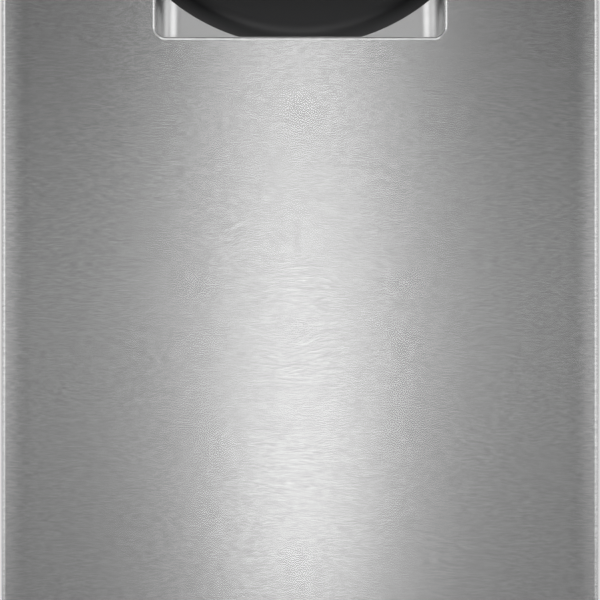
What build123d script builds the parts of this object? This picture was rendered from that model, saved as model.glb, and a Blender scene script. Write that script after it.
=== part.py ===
from build123d import *
import os

# A built-in dishwasher whose steel door has a pocket handle and hidden controls on its top edge.
# The origin is on the floor under the middle of the machine. +Z is up and the door faces -Y.

os.makedirs("parts", exist_ok=True)

# Overall size
door_width = 598
machine_depth = 603
machine_height = 860
front_y = -machine_depth / 2
back_y = machine_depth / 2

# Fits shared by many pieces
slide_gap = 0.3
shaft_gap = 0.05
weld_gap = 0.1

# Door
door_panel_bottom = 122
door_panel_top = 852
door_thickness = 55.5
door_skin = 1
door_edge_radius = 3
door_return = 28
bottom_return = 20
liner_sheet = 0.8
liner_bottom = 141
liner_top = 832
liner_y = front_y + door_thickness
liner_half = door_width / 2 - door_skin
pivot_inset = 16
pivot_y = liner_y - pivot_inset
pivot_z = 130
pivot_radius = 5

# Pocket handle
pocket_width = 290
pocket_height = 62
pocket_bottom = 743
pocket_corner = 11
pocket_rim_depth = 4
pocket_rim_round = 0.9
pocket_top = pocket_bottom + pocket_height
tray_inset = 0.8
tray_depth = 25
tray_side_radius = 25
tray_sheet = 1
scoop_overhang = 62
scoop_drop = 7
scoop_radius = pocket_width / 2 + scoop_overhang
scoop_centre_z = pocket_bottom - scoop_drop + scoop_radius
scoop_depth = 17
scoop_lift = 25
scoop_wall = 2
scoop_side_gap = 3
grip_rise = 23

# Tub: the cabinet is a little narrower than the door, and the tub stands inside the cabinet, with room for
# the gasket in front of it and for pipes and wires behind it
cabinet_inset = 9
side_space = 22
frame_outer_half = door_width / 2 - cabinet_inset
tub_half = frame_outer_half - side_space
tub_sheet = 1
gasket_space = 10
rear_space = 20.5
tub_front = liner_y + gasket_space
tub_back_y = back_y - rear_space
tub_top = 818
tub_corner = 28
tub_skirt = 6
ledge_z = 156
ledge_width = 43
well_width = 2 * (tub_half - ledge_width)
well_front = tub_front + 12
well_back = tub_back_y - 19
well_angle = 75
hub_y = (well_front + well_back) / 2
sump_offset = 49
sump_y = hub_y - sump_offset
sump_radius = 100
sump_seat_drop = 18

# Front frame, gasket and blanket
frame_sheet = 1.5
frame_top = 858
frame_return = 14
gasket_width = 10
blanket_wall = 14
blanket_bottom = 190
blanket_front = tub_front + 16

# Base
web_bottom = 60
web_top = 175
frame_bottom = web_top
web_front = tub_front + 2
foot_flange = 28
foot_x = frame_outer_half - 16
foot_front_y = tub_front + 24
foot_back_y = back_y - 25.5
foot_stud_radius = 5
foot_travel = 40
toe_kick_top = 111
toe_kick_bottom = 8
toe_kick_half = door_width / 2 - 2

# Racks
wire = 3.2
lower_half = tub_half - 32
lower_front = tub_front + 18
rack_back = tub_back_y - 23
lower_floor = 198
lower_height = 130
wheel_radius = 18
wheel_width = 12
wheel_x = lower_half + 10
wheel_setback = 130
front_wheel_y = pivot_y + wheel_setback
rear_wheel_y = rack_back - 68
upper_half = tub_half - 21
upper_front = tub_front + 24
upper_floor = 495
upper_height = 122
third_floor = 700
third_height = 34
rail_back_gap = 63
rail_front = tub_front + 14
rail_length = tub_back_y - rail_back_gap - rail_front
rail_height = 24
rail_sheet = 1.5
upper_rail_z = 597
third_rail_z = 717
rack_side_cells = 5
rack_end_cells = 5
rack_floor_cells = (6, 5)


def upright(y):
    """A plane across the machine at y, with its sketch in X and Z and its normal to the front."""
    return Plane(origin=(0, y, 0), x_dir=(1, 0, 0), z_dir=(0, -1, 0))


def level(z):
    """A level plane at z."""
    return Plane.XY.offset(z)


def side(x):
    """A plane along the machine at x, with its sketch in Y and Z and its normal to the right."""
    return Plane.YZ.offset(x)


def arch_outline(half_width, bottom, top, corner):
    """A rectangle that stands on its bottom edge, with both top corners rounded."""
    with BuildSketch() as outline:
        with Locations((0, bottom)):
            Rectangle(2 * half_width, top - bottom, align=(Align.CENTER, Align.MIN))
        fillet(outline.vertices().group_by(Axis.Y)[-1], corner)
    return outline.sketch


def arch_shell(half_width, bottom, top, corner, wall, y_front, depth):
    """A sheet or pad that runs up one side, over the top and down the other, open below."""
    outside = arch_outline(half_width + wall, bottom, top + wall, corner + wall)
    inside = arch_outline(half_width, bottom, top, corner)
    with BuildPart() as shell:
        with BuildSketch(upright(y_front)):
            add(outside)
            add(inside, mode=Mode.SUBTRACT)
        extrude(amount=-depth)
    return shell


# Tub: a wrapper bent over the sides and top, a back sheet and a drawn floor
tub_wrapper = arch_shell(
    tub_half, ledge_z - tub_skirt, tub_top, tub_corner, tub_sheet, tub_front, tub_back_y - tub_front
)

back_press = 3
back_press_margin = 60
back_outline = arch_outline(
    tub_half + tub_sheet, ledge_z - tub_skirt, tub_top + tub_sheet, tub_corner + tub_sheet
)
with BuildPart() as tub_back:
    with BuildSketch(upright(tub_back_y)):
        add(back_outline)
    extrude(amount=-tub_sheet)
    press_height = tub_top - ledge_z - 2 * back_press_margin
    with BuildSketch(upright(tub_back_y)):
        with Locations((0, (tub_top + ledge_z) / 2)):
            RectangleRounded(2 * (tub_half - back_press_margin), press_height, tub_corner)
    extrude(amount=-tub_sheet - back_press)
    with BuildSketch(upright(tub_back_y)):
        with Locations((0, (tub_top + ledge_z) / 2)):
            RectangleRounded(
                2 * (tub_half - back_press_margin - tub_sheet), press_height - 2 * tub_sheet, tub_corner
            )
    extrude(amount=-back_press, mode=Mode.SUBTRACT)

sump_seat_z = ledge_z - sump_seat_drop
well_length = well_back - well_front
well_y = (well_front + well_back) / 2
conduit_width = 36
conduit_depth = 9
conduit_front = tub_back_y - conduit_depth
float_x = 40 - well_width / 2
float_y = well_front + 38
float_stem_radius = 4
float_post_radius = 7
float_post_top = 168
with BuildPart() as tub_floor:
    with BuildSketch(level(ledge_z - tub_sheet)):
        with Locations((0, (tub_front + tub_back_y) / 2)):
            Rectangle(2 * tub_half, tub_back_y - tub_front)
    extrude(amount=tub_sheet)
    # The well slopes in on all four sides to a flat land round the sump
    with BuildSketch(level(ledge_z - tub_sheet)):
        with Locations((0, well_y)):
            Rectangle(well_width, well_length)
    extrude(amount=-sump_seat_drop, taper=well_angle)
    with BuildSketch(level(ledge_z)):
        with Locations((0, well_y)):
            Rectangle(well_width, well_length)
    extrude(amount=-sump_seat_drop, taper=well_angle, mode=Mode.SUBTRACT)
    with BuildSketch(level(sump_seat_z - tub_sheet)):
        with Locations((float_x, float_y)):
            Circle(float_post_radius)
    extrude(amount=float_post_top - sump_seat_z + tub_sheet)
    with Locations((0, sump_y, sump_seat_z)):
        Cylinder(sump_radius, 2 * sump_seat_drop, mode=Mode.SUBTRACT)
    with Locations((float_x, float_y, sump_seat_z)):
        Cylinder(float_stem_radius + shaft_gap, 4 * sump_seat_drop, mode=Mode.SUBTRACT)
    # The edge turned down at the front stiffens the sill
    with BuildSketch(side(-tub_half)):
        with Locations((tub_front, ledge_z)):
            Rectangle(tub_sheet, sump_seat_drop, align=(Align.MIN, Align.MAX))
    extrude(amount=2 * tub_half)
    # The feed conduit passes through the rear ledge
    with BuildSketch(level(ledge_z)):
        with Locations((0, conduit_front - slide_gap)):
            Rectangle(
                conduit_width + 2 * slide_gap, tub_back_y - conduit_front + 1, align=(Align.CENTER, Align.MIN)
            )
    extrude(amount=-2 * tub_sheet, mode=Mode.SUBTRACT)

# Front frame: a flat flange round the opening with its outer edges turned back
frame_opening = arch_outline(tub_half + tub_sheet, frame_bottom, tub_top + tub_sheet, tub_corner + tub_sheet)
with BuildPart() as front_frame:
    with BuildSketch(upright(tub_front)):
        with Locations((0, frame_bottom)):
            Rectangle(2 * frame_outer_half, frame_top - frame_bottom, align=(Align.CENTER, Align.MIN))
        add(frame_opening, mode=Mode.SUBTRACT)
    extrude(amount=-frame_sheet)
    with BuildSketch(upright(tub_front)):
        with Locations((0, frame_bottom)):
            Rectangle(2 * frame_outer_half, frame_top - frame_bottom, align=(Align.CENTER, Align.MIN))
            Rectangle(
                2 * (frame_outer_half - frame_sheet),
                frame_top - frame_sheet - frame_bottom,
                align=(Align.CENTER, Align.MIN),
                mode=Mode.SUBTRACT,
            )
    extrude(amount=-frame_return)

gasket_seat_gap = 0.5
door_gasket = arch_shell(
    tub_half + tub_sheet + gasket_seat_gap,
    frame_bottom,
    tub_top + tub_sheet + gasket_seat_gap,
    tub_corner,
    gasket_width,
    liner_y + slide_gap,
    tub_front - liner_y - slide_gap,
)

insulation_blanket = arch_shell(
    tub_half + tub_sheet,
    blanket_bottom,
    tub_top + tub_sheet,
    tub_corner,
    blanket_wall,
    blanket_front,
    tub_back_y - blanket_front,
)

# Feed conduit: up the back wall and forward under the top to the top spray arm, with a port halfway up
conduit_bottom = 112
conduit_post_radius = 8
retainer_lip = 3
retainer_gap = 2
top_arm_z = 785
arm_hub_height = 10
arm_retainer = 3
upper_pipe_z = 484
pipe_radius = 7
port_length = 5
conduit_roof = 10
sump_outlet_y = sump_y + sump_radius + 4
with BuildPart() as feed_conduit:
    with BuildSketch(level(conduit_bottom)):
        with Locations((0, conduit_front)):
            Rectangle(conduit_width, conduit_depth, align=(Align.CENTER, Align.MIN))
    extrude(amount=tub_top - conduit_bottom)
    with BuildSketch(side(-conduit_width / 2)):
        with Locations((tub_back_y, tub_top)):
            Rectangle(
                tub_back_y - hub_y + conduit_width / 2,
                conduit_roof,
                align=(Align.MAX, Align.MAX),
            )
        with Locations((tub_back_y, conduit_bottom)):
            Rectangle(tub_back_y - sump_outlet_y, conduit_roof, align=(Align.MAX, Align.MIN))
    extrude(amount=conduit_width)
    fillet(feed_conduit.edges().filter_by(Axis.X).sort_by(Axis.Y)[-2:], conduit_roof - 2)
    fillet(feed_conduit.edges().filter_by(Axis.Z).sort_by(Axis.Y)[:2], conduit_width / 3)
    with BuildSketch(level(tub_top - conduit_roof)):
        with Locations((0, hub_y)):
            Circle(conduit_post_radius)
    extrude(amount=top_arm_z - arm_retainer - retainer_gap - tub_top + conduit_roof)
    with BuildSketch(level(top_arm_z - slide_gap)):
        with Locations((0, hub_y)):
            Circle(conduit_post_radius + retainer_lip)
    extrude(amount=-arm_retainer)
    with BuildSketch(upright(conduit_front)):
        with Locations((0, upper_pipe_z)):
            Circle(pipe_radius + 2)
    extrude(amount=port_length)


jet_length = 9
jet_width = 3
jet_depth = 2
jet_slant = 30
jet_shares = (0.42, 0.58, 0.74, 0.9)
arm_hub_wall = 6
arm_middle_share = 0.9


def spray_arm(hub_z, arm_radius, chord, thickness, hub_height):
    """A two-ended spray arm with a broad middle, a raised hub with its bore, and a row of slanted jets."""
    with BuildPart() as arm:
        with BuildSketch(level(hub_z)):
            with Locations((0, hub_y)):
                SlotOverall(2 * arm_radius, chord)
                RegularPolygon(chord * arm_middle_share, 12)
        extrude(amount=thickness)
        with BuildSketch(level(hub_z)):
            with Locations((0, hub_y)):
                Circle(conduit_post_radius + arm_hub_wall)
        extrude(amount=hub_height)
        with Locations((0, hub_y, hub_z)):
            Cylinder(conduit_post_radius + shaft_gap, 4 * hub_height, mode=Mode.SUBTRACT)
        with BuildSketch(level(hub_z + thickness)):
            with Locations((0, hub_y)):
                for hand in (-1, 1):
                    for share in jet_shares:
                        with Locations((hand * share * arm_radius, 0)):
                            Rectangle(jet_length, jet_width, rotation=hand * jet_slant)
        extrude(amount=-jet_depth, mode=Mode.SUBTRACT)
    return arm


lower_arm_z = 168
lower_arm_radius = 212
arm_chord = 42
arm_thickness = 11
top_arm_radius = 130
lower_spray_arm = spray_arm(lower_arm_z, lower_arm_radius, arm_chord, arm_thickness, arm_thickness + 4)
top_spray_arm = spray_arm(top_arm_z, top_arm_radius, arm_chord - 8, arm_thickness - 3, arm_hub_height)
middle_arm_z = 460
middle_spray_arm = spray_arm(
    middle_arm_z, lower_arm_radius - 4, arm_chord - 4, arm_thickness - 1, arm_hub_height + 1
)


def slide_channel(web_x, web_to, half_height, rail_z, sheet):
    """Two channels along Y, one on each side of the tub, from their web at web_x to their edges at web_to."""
    inner, outer = sorted((web_x, web_to))
    web_inner = web_x if web_to > web_x else web_x - sheet
    with BuildSketch(upright(rail_front)) as section:
        for hand in (-1, 1):
            for end in (-1, 1):
                with Locations((hand * (inner + outer) / 2, rail_z + end * (half_height - sheet / 2))):
                    Rectangle(outer - inner, sheet)
            with Locations((hand * (web_inner + sheet / 2), rail_z)):
                Rectangle(sheet, 2 * half_height)
    extrude(section.sketch, amount=-rail_length)


rail_depth = 14
rail_half = rail_height / 2
middle_half = rail_half - rail_sheet - slide_gap
inner_half = middle_half - rail_sheet - slide_gap
middle_web = tub_half - rail_sheet - slide_gap
inner_tip = middle_web - rail_sheet - slide_gap
inner_web = upper_half + 5
block_length = 28
with BuildPart() as slide_rail_outer:
    slide_channel(tub_half, tub_half - rail_depth, rail_half, upper_rail_z, rail_sheet)
    slide_channel(tub_half, tub_half - rail_depth, rail_half, third_rail_z, rail_sheet)

with BuildPart() as slide_rail_middle:
    slide_channel(middle_web, tub_half - rail_depth + 1, middle_half, upper_rail_z, rail_sheet)
    slide_channel(middle_web, tub_half - rail_depth + 1, middle_half, third_rail_z, rail_sheet)


def inner_member(rail_z):
    """The rail members that a rack hangs on, with blocks that join them to upright wires of the rack."""
    with BuildPart() as member:
        slide_channel(inner_web, inner_tip, inner_half, rail_z, rail_sheet)
        for wire_number in (1, rack_side_cells - 1):
            wire_y = upper_front + wire / 2 + wire_number * (rack_back - upper_front - wire) / rack_side_cells
            with BuildSketch(upright(wire_y)) as blocks:
                for hand in (-1, 1):
                    with Locations((hand * (upper_half + inner_web) / 2, rail_z)):
                        Rectangle(inner_web - upper_half, inner_half)
            extrude(blocks.sketch, amount=block_length / 2, both=True)
    return member


upper_rail_inner = inner_member(upper_rail_z)
third_rail_inner = inner_member(third_rail_z)

# Base frame: two channel sides with hinge ears, joined by a front and a rear rail
cross_rail_y = tub_front + 1
cross_rail_bottom = 22
ear_radius = 14
spring_z = 154
spring_y = pivot_y + 20
spring_x = frame_outer_half - 10.7
spring_anchor_y = pivot_y + 222
spring_tab = 16
spring_notch = 4.8
nut_radius = 10
nut_drop = 20
inlet_x = frame_outer_half - 90
inlet_z = 96
inlet_radius = 13
drain_x = -140
drain_z = 96
drain_radius = 11
supply_x = inlet_x - 110
supply_z = 92
supply_radius = 11
port_clearance = 4
with BuildPart() as base_frame:
    with BuildSketch(side(frame_outer_half - frame_sheet)):
        with BuildLine():
            Polyline(
                (web_front, web_bottom),
                (back_y, web_bottom),
                (back_y, web_top),
                (web_front, web_top),
                (web_front, web_bottom),
            )
        make_face()
        with Locations((pivot_y, pivot_z)):
            Circle(ear_radius)
        with Locations((pivot_y, pivot_z)):
            Rectangle(web_front - pivot_y + 1, 2 * ear_radius, align=(Align.MIN, Align.CENTER))
        with Locations((pivot_y, pivot_z)):
            Circle(pivot_radius + shaft_gap, mode=Mode.SUBTRACT)
    extrude(amount=frame_sheet)
    with BuildSketch(upright(web_front)):
        with Locations((frame_outer_half, web_top)):
            Rectangle(
                frame_outer_half - tub_half - tub_sheet, frame_sheet, align=(Align.MAX, Align.MAX)
            )
        with Locations((frame_outer_half, web_bottom)):
            Rectangle(foot_flange, frame_sheet, align=(Align.MAX, Align.MIN))
    extrude(amount=web_front - back_y)
    # A notched tab inside the channel holds the back end of the door spring
    with BuildSketch(upright(spring_anchor_y)):
        with Locations((frame_outer_half - frame_sheet, spring_z)):
            Rectangle(spring_tab, spring_tab, align=(Align.MAX, Align.CENTER))
        with Locations((spring_x, spring_z - spring_notch / 2)):
            Rectangle(spring_notch, spring_tab, align=(Align.CENTER, Align.MIN), mode=Mode.SUBTRACT)
    extrude(amount=2)
    # Long six-sided weld nuts under the flange take the feet
    with BuildSketch(level(web_bottom + frame_sheet)):
        with Locations((foot_x, foot_front_y), (foot_x, foot_back_y)):
            RegularPolygon(nut_radius, 6)
    extrude(amount=-nut_drop - frame_sheet)
    with Locations((foot_x, foot_front_y, web_bottom), (foot_x, foot_back_y, web_bottom)):
        Cylinder(foot_stud_radius + shaft_gap, 3 * nut_drop, mode=Mode.SUBTRACT)
    mirror(about=Plane.YZ)
    with BuildSketch(upright(cross_rail_y)):
        with Locations((0, cross_rail_bottom)):
            Rectangle(
                2 * frame_outer_half,
                toe_kick_top - 1 - cross_rail_bottom,
                align=(Align.CENTER, Align.MIN),
            )
    extrude(amount=-frame_sheet)
    with BuildSketch(level(toe_kick_top - 1)):
        with Locations((0, cross_rail_y)):
            Rectangle(2 * frame_outer_half, frame_return, align=(Align.CENTER, Align.MIN))
    extrude(amount=-frame_sheet)
    with BuildSketch(upright(back_y)):
        with Locations((0, web_bottom)):
            Rectangle(2 * frame_outer_half, web_top - web_bottom, align=(Align.CENTER, Align.MIN))
        with Locations((inlet_x, inlet_z)):
            Circle(inlet_radius + port_clearance, mode=Mode.SUBTRACT)
        with Locations((drain_x, drain_z)):
            Circle(drain_radius + port_clearance, mode=Mode.SUBTRACT)
        with Locations((supply_x, supply_z)):
            Circle(supply_radius + port_clearance, mode=Mode.SUBTRACT)
    extrude(amount=frame_sheet)

pan_half = frame_outer_half - 32
pan_bottom = 44
pan_sheet = 2
pan_corner = 10
pan_lip = 8
pan_front = cross_rail_y + frame_sheet + 4
pan_back = back_y - frame_sheet - 3
with BuildPart() as base_pan:
    with BuildSketch(level(pan_bottom)):
        with Locations((0, (pan_front + pan_back) / 2)):
            Rectangle(2 * pan_half, pan_back - pan_front)
    extrude(amount=web_bottom + frame_sheet + pan_sheet - pan_bottom)
    fillet(base_pan.edges().filter_by(Axis.Z), pan_corner)
    with BuildSketch(level(pan_bottom + pan_sheet)):
        with Locations((0, (pan_front + pan_back) / 2)):
            RectangleRounded(
                2 * (pan_half - pan_sheet), pan_back - pan_front - 2 * pan_sheet, pan_corner - pan_sheet
            )
    extrude(amount=machine_height, mode=Mode.SUBTRACT)
    # Side lips rest on the flanges of the base frame, between its feet
    with BuildSketch(level(web_bottom + frame_sheet)):
        with Locations((0, (foot_front_y + foot_back_y) / 2)):
            Rectangle(2 * (pan_half + pan_lip), foot_back_y - foot_front_y - 4 * nut_radius)
            Rectangle(2 * (pan_half - pan_sheet), foot_back_y - foot_front_y, mode=Mode.SUBTRACT)
    extrude(amount=pan_sheet)

# Toe kick: a plate under the door whose top edge hooks over the front rail
toe_kick_sheet = 1
hook_half = frame_outer_half - frame_sheet - slide_gap
with BuildPart() as toe_kick:
    with BuildSketch(upright(tub_front)):
        with Locations((0, toe_kick_bottom)):
            Rectangle(2 * toe_kick_half, toe_kick_top - toe_kick_bottom, align=(Align.CENTER, Align.MIN))
    extrude(amount=-toe_kick_sheet)
    with BuildSketch(level(toe_kick_top)):
        with Locations((0, tub_front)):
            Rectangle(2 * hook_half, frame_return, align=(Align.CENTER, Align.MIN))
    extrude(amount=-toe_kick_sheet)

# Hinge pins: a round head outside the ear and a six-sided nut inside the hinge arm
arm_sheet = 3
arm_outer_x = frame_outer_half - frame_sheet - 1.3
arm_inner_x = arm_outer_x - arm_sheet
pin_head = 3
pin_nut = 1.5
pin_head_radius = pivot_radius + 3
with BuildPart() as hinge_pins:
    with BuildSketch(side(arm_inner_x - slide_gap)):
        with Locations((pivot_y, pivot_z)):
            Circle(pivot_radius)
    extrude(amount=frame_outer_half - arm_inner_x + slide_gap)
    with BuildSketch(side(frame_outer_half)):
        with Locations((pivot_y, pivot_z)):
            Circle(pin_head_radius)
    extrude(amount=pin_head)
    with BuildSketch(side(arm_inner_x - slide_gap)):
        with Locations((pivot_y, pivot_z)):
            RegularPolygon(pin_head_radius, 6)
    extrude(amount=-pin_nut)
    mirror(about=Plane.YZ)

# Door springs: each hooks into a hinge arm and runs back inside the channel of the base frame
spring_radius = 6.5
spring_body_front = spring_y + 57
spring_body_back = spring_anchor_y - 30
hook_radius = 1.8
hook_head = 4
hook_proud = 0.8
with BuildPart() as door_springs:
    with BuildSketch(upright(spring_y)):
        with Locations((spring_x, spring_z)):
            RegularPolygon(hook_radius, 8)
    extrude(amount=spring_y - spring_anchor_y - hook_head)
    with BuildSketch(upright(spring_body_front)):
        with Locations((spring_x, spring_z)):
            Circle(spring_radius)
    extrude(amount=spring_body_front - spring_body_back)
    with BuildSketch(upright(spring_anchor_y)):
        with Locations((spring_x, spring_z)):
            RegularPolygon(2 * hook_radius, 8)
    extrude(amount=-hook_head)
    with BuildSketch(side(spring_x)):
        with Locations((spring_y, spring_z)):
            RegularPolygon(hook_radius, 8)
    extrude(amount=arm_outer_x + hook_proud - spring_x)
    mirror(about=Plane.YZ)

# Sump: a bowl under the tub floor, with the post that carries the lower spray arm
sump_wall = 3
sump_depth = 58
sump_flange = 8
sump_flange_height = 3
sump_top = sump_seat_z - tub_sheet
sump_bottom = sump_top - sump_depth
pump_y = sump_y
pump_z = 96
pump_port_radius = 15
port_reach = 4
arm_post_shoulder = lower_arm_z - slide_gap
with BuildPart() as sump:
    with BuildSketch(level(sump_bottom)):
        with Locations((0, sump_y)):
            Circle(sump_radius)
    extrude(amount=sump_depth)
    with BuildSketch(level(sump_top)):
        with Locations((0, sump_y)):
            Circle(sump_radius + sump_flange)
    extrude(amount=-sump_flange_height)
    with BuildSketch(side(sump_radius + port_reach)):
        with Locations((pump_y, pump_z)):
            Circle(pump_port_radius)
    extrude(amount=-pump_port_radius)
    with BuildSketch(upright(sump_outlet_y)):
        with Locations((0, conduit_bottom)):
            Rectangle(conduit_width, conduit_roof, align=(Align.CENTER, Align.MIN))
    extrude(amount=sump_outlet_y - sump_y - sump_radius + sump_wall)
    with BuildSketch(level(sump_bottom + sump_wall)):
        with Locations((0, sump_y)):
            Circle(sump_radius - sump_wall)
    extrude(amount=sump_depth, mode=Mode.SUBTRACT)
    with BuildSketch(side(sump_radius + port_reach)):
        with Locations((pump_y, pump_z)):
            Circle(pump_port_radius - sump_wall)
    extrude(amount=-(port_reach + 2 * sump_wall), mode=Mode.SUBTRACT)
    with BuildSketch(level(sump_bottom)):
        with Locations((0, hub_y)):
            RegularPolygon(conduit_post_radius + retainer_lip, 8)
    extrude(amount=arm_post_shoulder - sump_bottom)
    with BuildSketch(level(arm_post_shoulder)):
        with Locations((0, hub_y)):
            Circle(conduit_post_radius)
    extrude(amount=arm_thickness + 6)

# Filters: a flat plate in the tub floor and a cylinder that hangs through it and twists to unlock
filter_y = sump_y - 45
filter_radius = 37
filter_collar = 44
filter_bottom = 100
plate_thickness = 2
plate_top = sump_top + plate_thickness
with BuildPart() as filter_plate:
    with BuildSketch(level(sump_top)):
        with Locations((0, sump_y)):
            Circle(sump_radius - 0.5)
        with Locations((0, hub_y)):
            Circle(conduit_post_radius + retainer_lip + 0.5, mode=Mode.SUBTRACT)
        with Locations((0, filter_y)):
            Circle(filter_radius + 1, mode=Mode.SUBTRACT)
    extrude(amount=plate_thickness)

collar_height = 4
filter_wall = 2
filter_grip_width = 9
filter_grip_height = 12
collar_bottom = plate_top + slide_gap
with BuildPart() as filter_cylinder:
    with BuildSketch(level(filter_bottom)):
        with Locations((0, filter_y)):
            Circle(filter_radius)
    extrude(amount=collar_bottom - filter_bottom)
    with BuildSketch(level(collar_bottom)):
        with Locations((0, filter_y)):
            Circle(filter_collar)
    extrude(amount=collar_height)
    with BuildSketch(level(filter_bottom + filter_wall)):
        with Locations((0, filter_y)):
            Circle(filter_radius - filter_wall)
    extrude(amount=collar_bottom + filter_wall - filter_bottom, mode=Mode.SUBTRACT)
    # A bar across the open top turns and lifts the filter
    with BuildSketch(level(collar_bottom + collar_height / 2)):
        with Locations((0, filter_y)):
            Rectangle(2 * filter_radius + filter_grip_width, filter_grip_width)
    extrude(amount=filter_grip_height)

# Float: a cap on a stem that slides in the post of the tub floor
float_cap_radius = 17
float_cap_height = 13
float_stem_bottom = sump_seat_z - 22
with BuildPart() as float_switch:
    with BuildSketch(level(float_post_top + slide_gap)):
        with Locations((float_x, float_y)):
            Circle(float_cap_radius)
    extrude(amount=float_cap_height)
    with BuildSketch(level(float_stem_bottom)):
        with Locations((float_x, float_y)):
            Circle(float_stem_radius)
    extrude(amount=float_post_top + 1 - float_stem_bottom)

# Wash pump: a volute against the sump port with the motor behind it, and the impeller inside
volute_radius = 36
volute_front = sump_radius + port_reach
volute_length = 26
volute_wall = 4
motor_radius = 31
motor_length = 76
motor_block = (40, 34)
shaft_socket = 12
impeller_shaft_radius = 4
impeller_radius = 27
impeller_front = volute_front + 6
vane_count = 6
vane_depth = 9
vane_sheet = 2
vane_lean = 25
impeller_hub = 6
impeller_disc = 3
with BuildPart() as wash_pump:
    with BuildSketch(side(volute_front)):
        with Locations((pump_y, pump_z)):
            Circle(volute_radius)
    extrude(amount=volute_length)
    with BuildSketch(side(volute_front + volute_length)):
        with Locations((pump_y, pump_z)):
            Circle(motor_radius)
    extrude(amount=motor_length)
    with BuildSketch(side(volute_front + volute_wall)):
        with Locations((pump_y, pump_z)):
            Circle(volute_radius - volute_wall)
    extrude(amount=volute_length - 2 * volute_wall, mode=Mode.SUBTRACT)
    with BuildSketch(side(volute_front)):
        with Locations((pump_y, pump_z)):
            Circle(pump_port_radius - sump_wall)
    extrude(amount=2 * volute_wall, mode=Mode.SUBTRACT)
    with BuildSketch(side(volute_front + volute_length - 2 * volute_wall)):
        with Locations((pump_y, pump_z)):
            Circle(impeller_shaft_radius + shaft_gap)
    extrude(amount=volute_wall + shaft_socket, mode=Mode.SUBTRACT)
    # A rubber block carries the motor on the base pan
    with BuildSketch(level(pan_bottom + pan_sheet)):
        with Locations((volute_front + volute_length + motor_length / 2, pump_y)):
            Rectangle(*motor_block)
    extrude(amount=pump_z - motor_radius + motor_radius / 4 - pan_bottom - pan_sheet)

with BuildPart() as wash_impeller:
    with BuildSketch(side(impeller_front + vane_depth)):
        with Locations((pump_y, pump_z)):
            Circle(impeller_radius)
    extrude(amount=impeller_disc)
    with BuildSketch(side(impeller_front)):
        with Locations((pump_y, pump_z)):
            with PolarLocations(0, vane_count):
                with Locations((impeller_radius / 2 + vane_sheet, 0)):
                    Rectangle(impeller_radius - impeller_hub, vane_sheet, rotation=vane_lean)
            RegularPolygon(impeller_hub, 6)
    extrude(amount=vane_depth)
    with BuildSketch(side(impeller_front + vane_depth + impeller_disc)):
        with Locations((pump_y, pump_z)):
            Circle(impeller_shaft_radius)
    extrude(amount=shaft_socket)

# Drain pump with its pipe to the hose barb at the back
drain_pump_radius = 22
drain_pump_length = 66
drain_pump_foot = (24, 30)
barb_length = 24
barb_end_y = back_y - 4
barb_bore_depth = 60
with BuildPart() as drain_pump:
    with BuildSketch(side(-sump_radius)):
        with Locations((pump_y, drain_z)):
            Circle(drain_pump_radius)
    extrude(amount=-drain_pump_length)
    with BuildSketch(upright(pump_y)):
        with Locations((drain_x, drain_z)):
            Circle(drain_radius - 2)
    extrude(amount=pump_y - barb_end_y + barb_length)
    with BuildSketch(upright(barb_end_y)):
        with Locations((drain_x, drain_z)):
            Circle(drain_radius)
    extrude(amount=barb_length)
    with BuildSketch(upright(barb_end_y)):
        with Locations((drain_x, drain_z)):
            Circle(drain_radius - 3)
    extrude(amount=barb_bore_depth, mode=Mode.SUBTRACT)
    with BuildSketch(level(pan_bottom + pan_sheet)):
        with Locations((drain_x, pump_y)):
            Rectangle(*drain_pump_foot)
    extrude(amount=drain_z - drain_pump_radius + 2 - pan_bottom - pan_sheet)

# Inlet valve on the rear rail, with its threaded nose through the rail
valve_width = 38
valve_length = 44
valve_height = 46
valve_z = inlet_z - 4
valve_back_y = back_y - frame_sheet - 12
coil_radius = 14
coil_height = 24
nose_wall = 4
valve_foot = 6
valve_foot_rise = valve_height / 2 - 2
with BuildPart() as inlet_valve:
    with BuildSketch(upright(valve_back_y)):
        with Locations((inlet_x, valve_z)):
            Rectangle(valve_width, valve_height)
    extrude(amount=valve_length)
    with BuildSketch(upright(back_y)):
        with Locations((inlet_x, inlet_z)):
            Circle(inlet_radius)
    extrude(amount=back_y - valve_back_y)
    with BuildSketch(upright(back_y)):
        with Locations((inlet_x, inlet_z)):
            Circle(inlet_radius - nose_wall)
    extrude(amount=back_y - valve_back_y + nose_wall, mode=Mode.SUBTRACT)
    with BuildSketch(level(valve_z + valve_height / 2)):
        with Locations((inlet_x, valve_back_y - valve_length / 2)):
            Circle(coil_radius)
    extrude(amount=coil_height)
    # Feet at the top and bottom of the body bear on the rear rail
    with BuildSketch(upright(back_y - frame_sheet)):
        with Locations((inlet_x, valve_z + valve_foot_rise), (inlet_x, valve_z - valve_foot_rise)):
            Rectangle(valve_width - valve_foot, valve_foot)
    extrude(amount=back_y - frame_sheet - valve_back_y)

# Junction box on the rear rail, with a hole for the supply cable
box_width = 84
box_depth = 48
box_height = 52
box_sheet = 2
with BuildPart() as junction_box:
    with BuildSketch(upright(back_y - frame_sheet)):
        with Locations((supply_x, supply_z)):
            Rectangle(box_width, box_height)
    extrude(amount=box_depth)
    with BuildSketch(upright(back_y - frame_sheet - box_sheet)):
        with Locations((supply_x, supply_z)):
            Rectangle(box_width - 2 * box_sheet, box_height - 2 * box_sheet)
    extrude(amount=box_depth - 2 * box_sheet, mode=Mode.SUBTRACT)
    with BuildSketch(upright(back_y)):
        with Locations((supply_x, supply_z)):
            Circle(supply_radius)
    extrude(amount=frame_sheet + box_sheet + slide_gap, mode=Mode.SUBTRACT)

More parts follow.
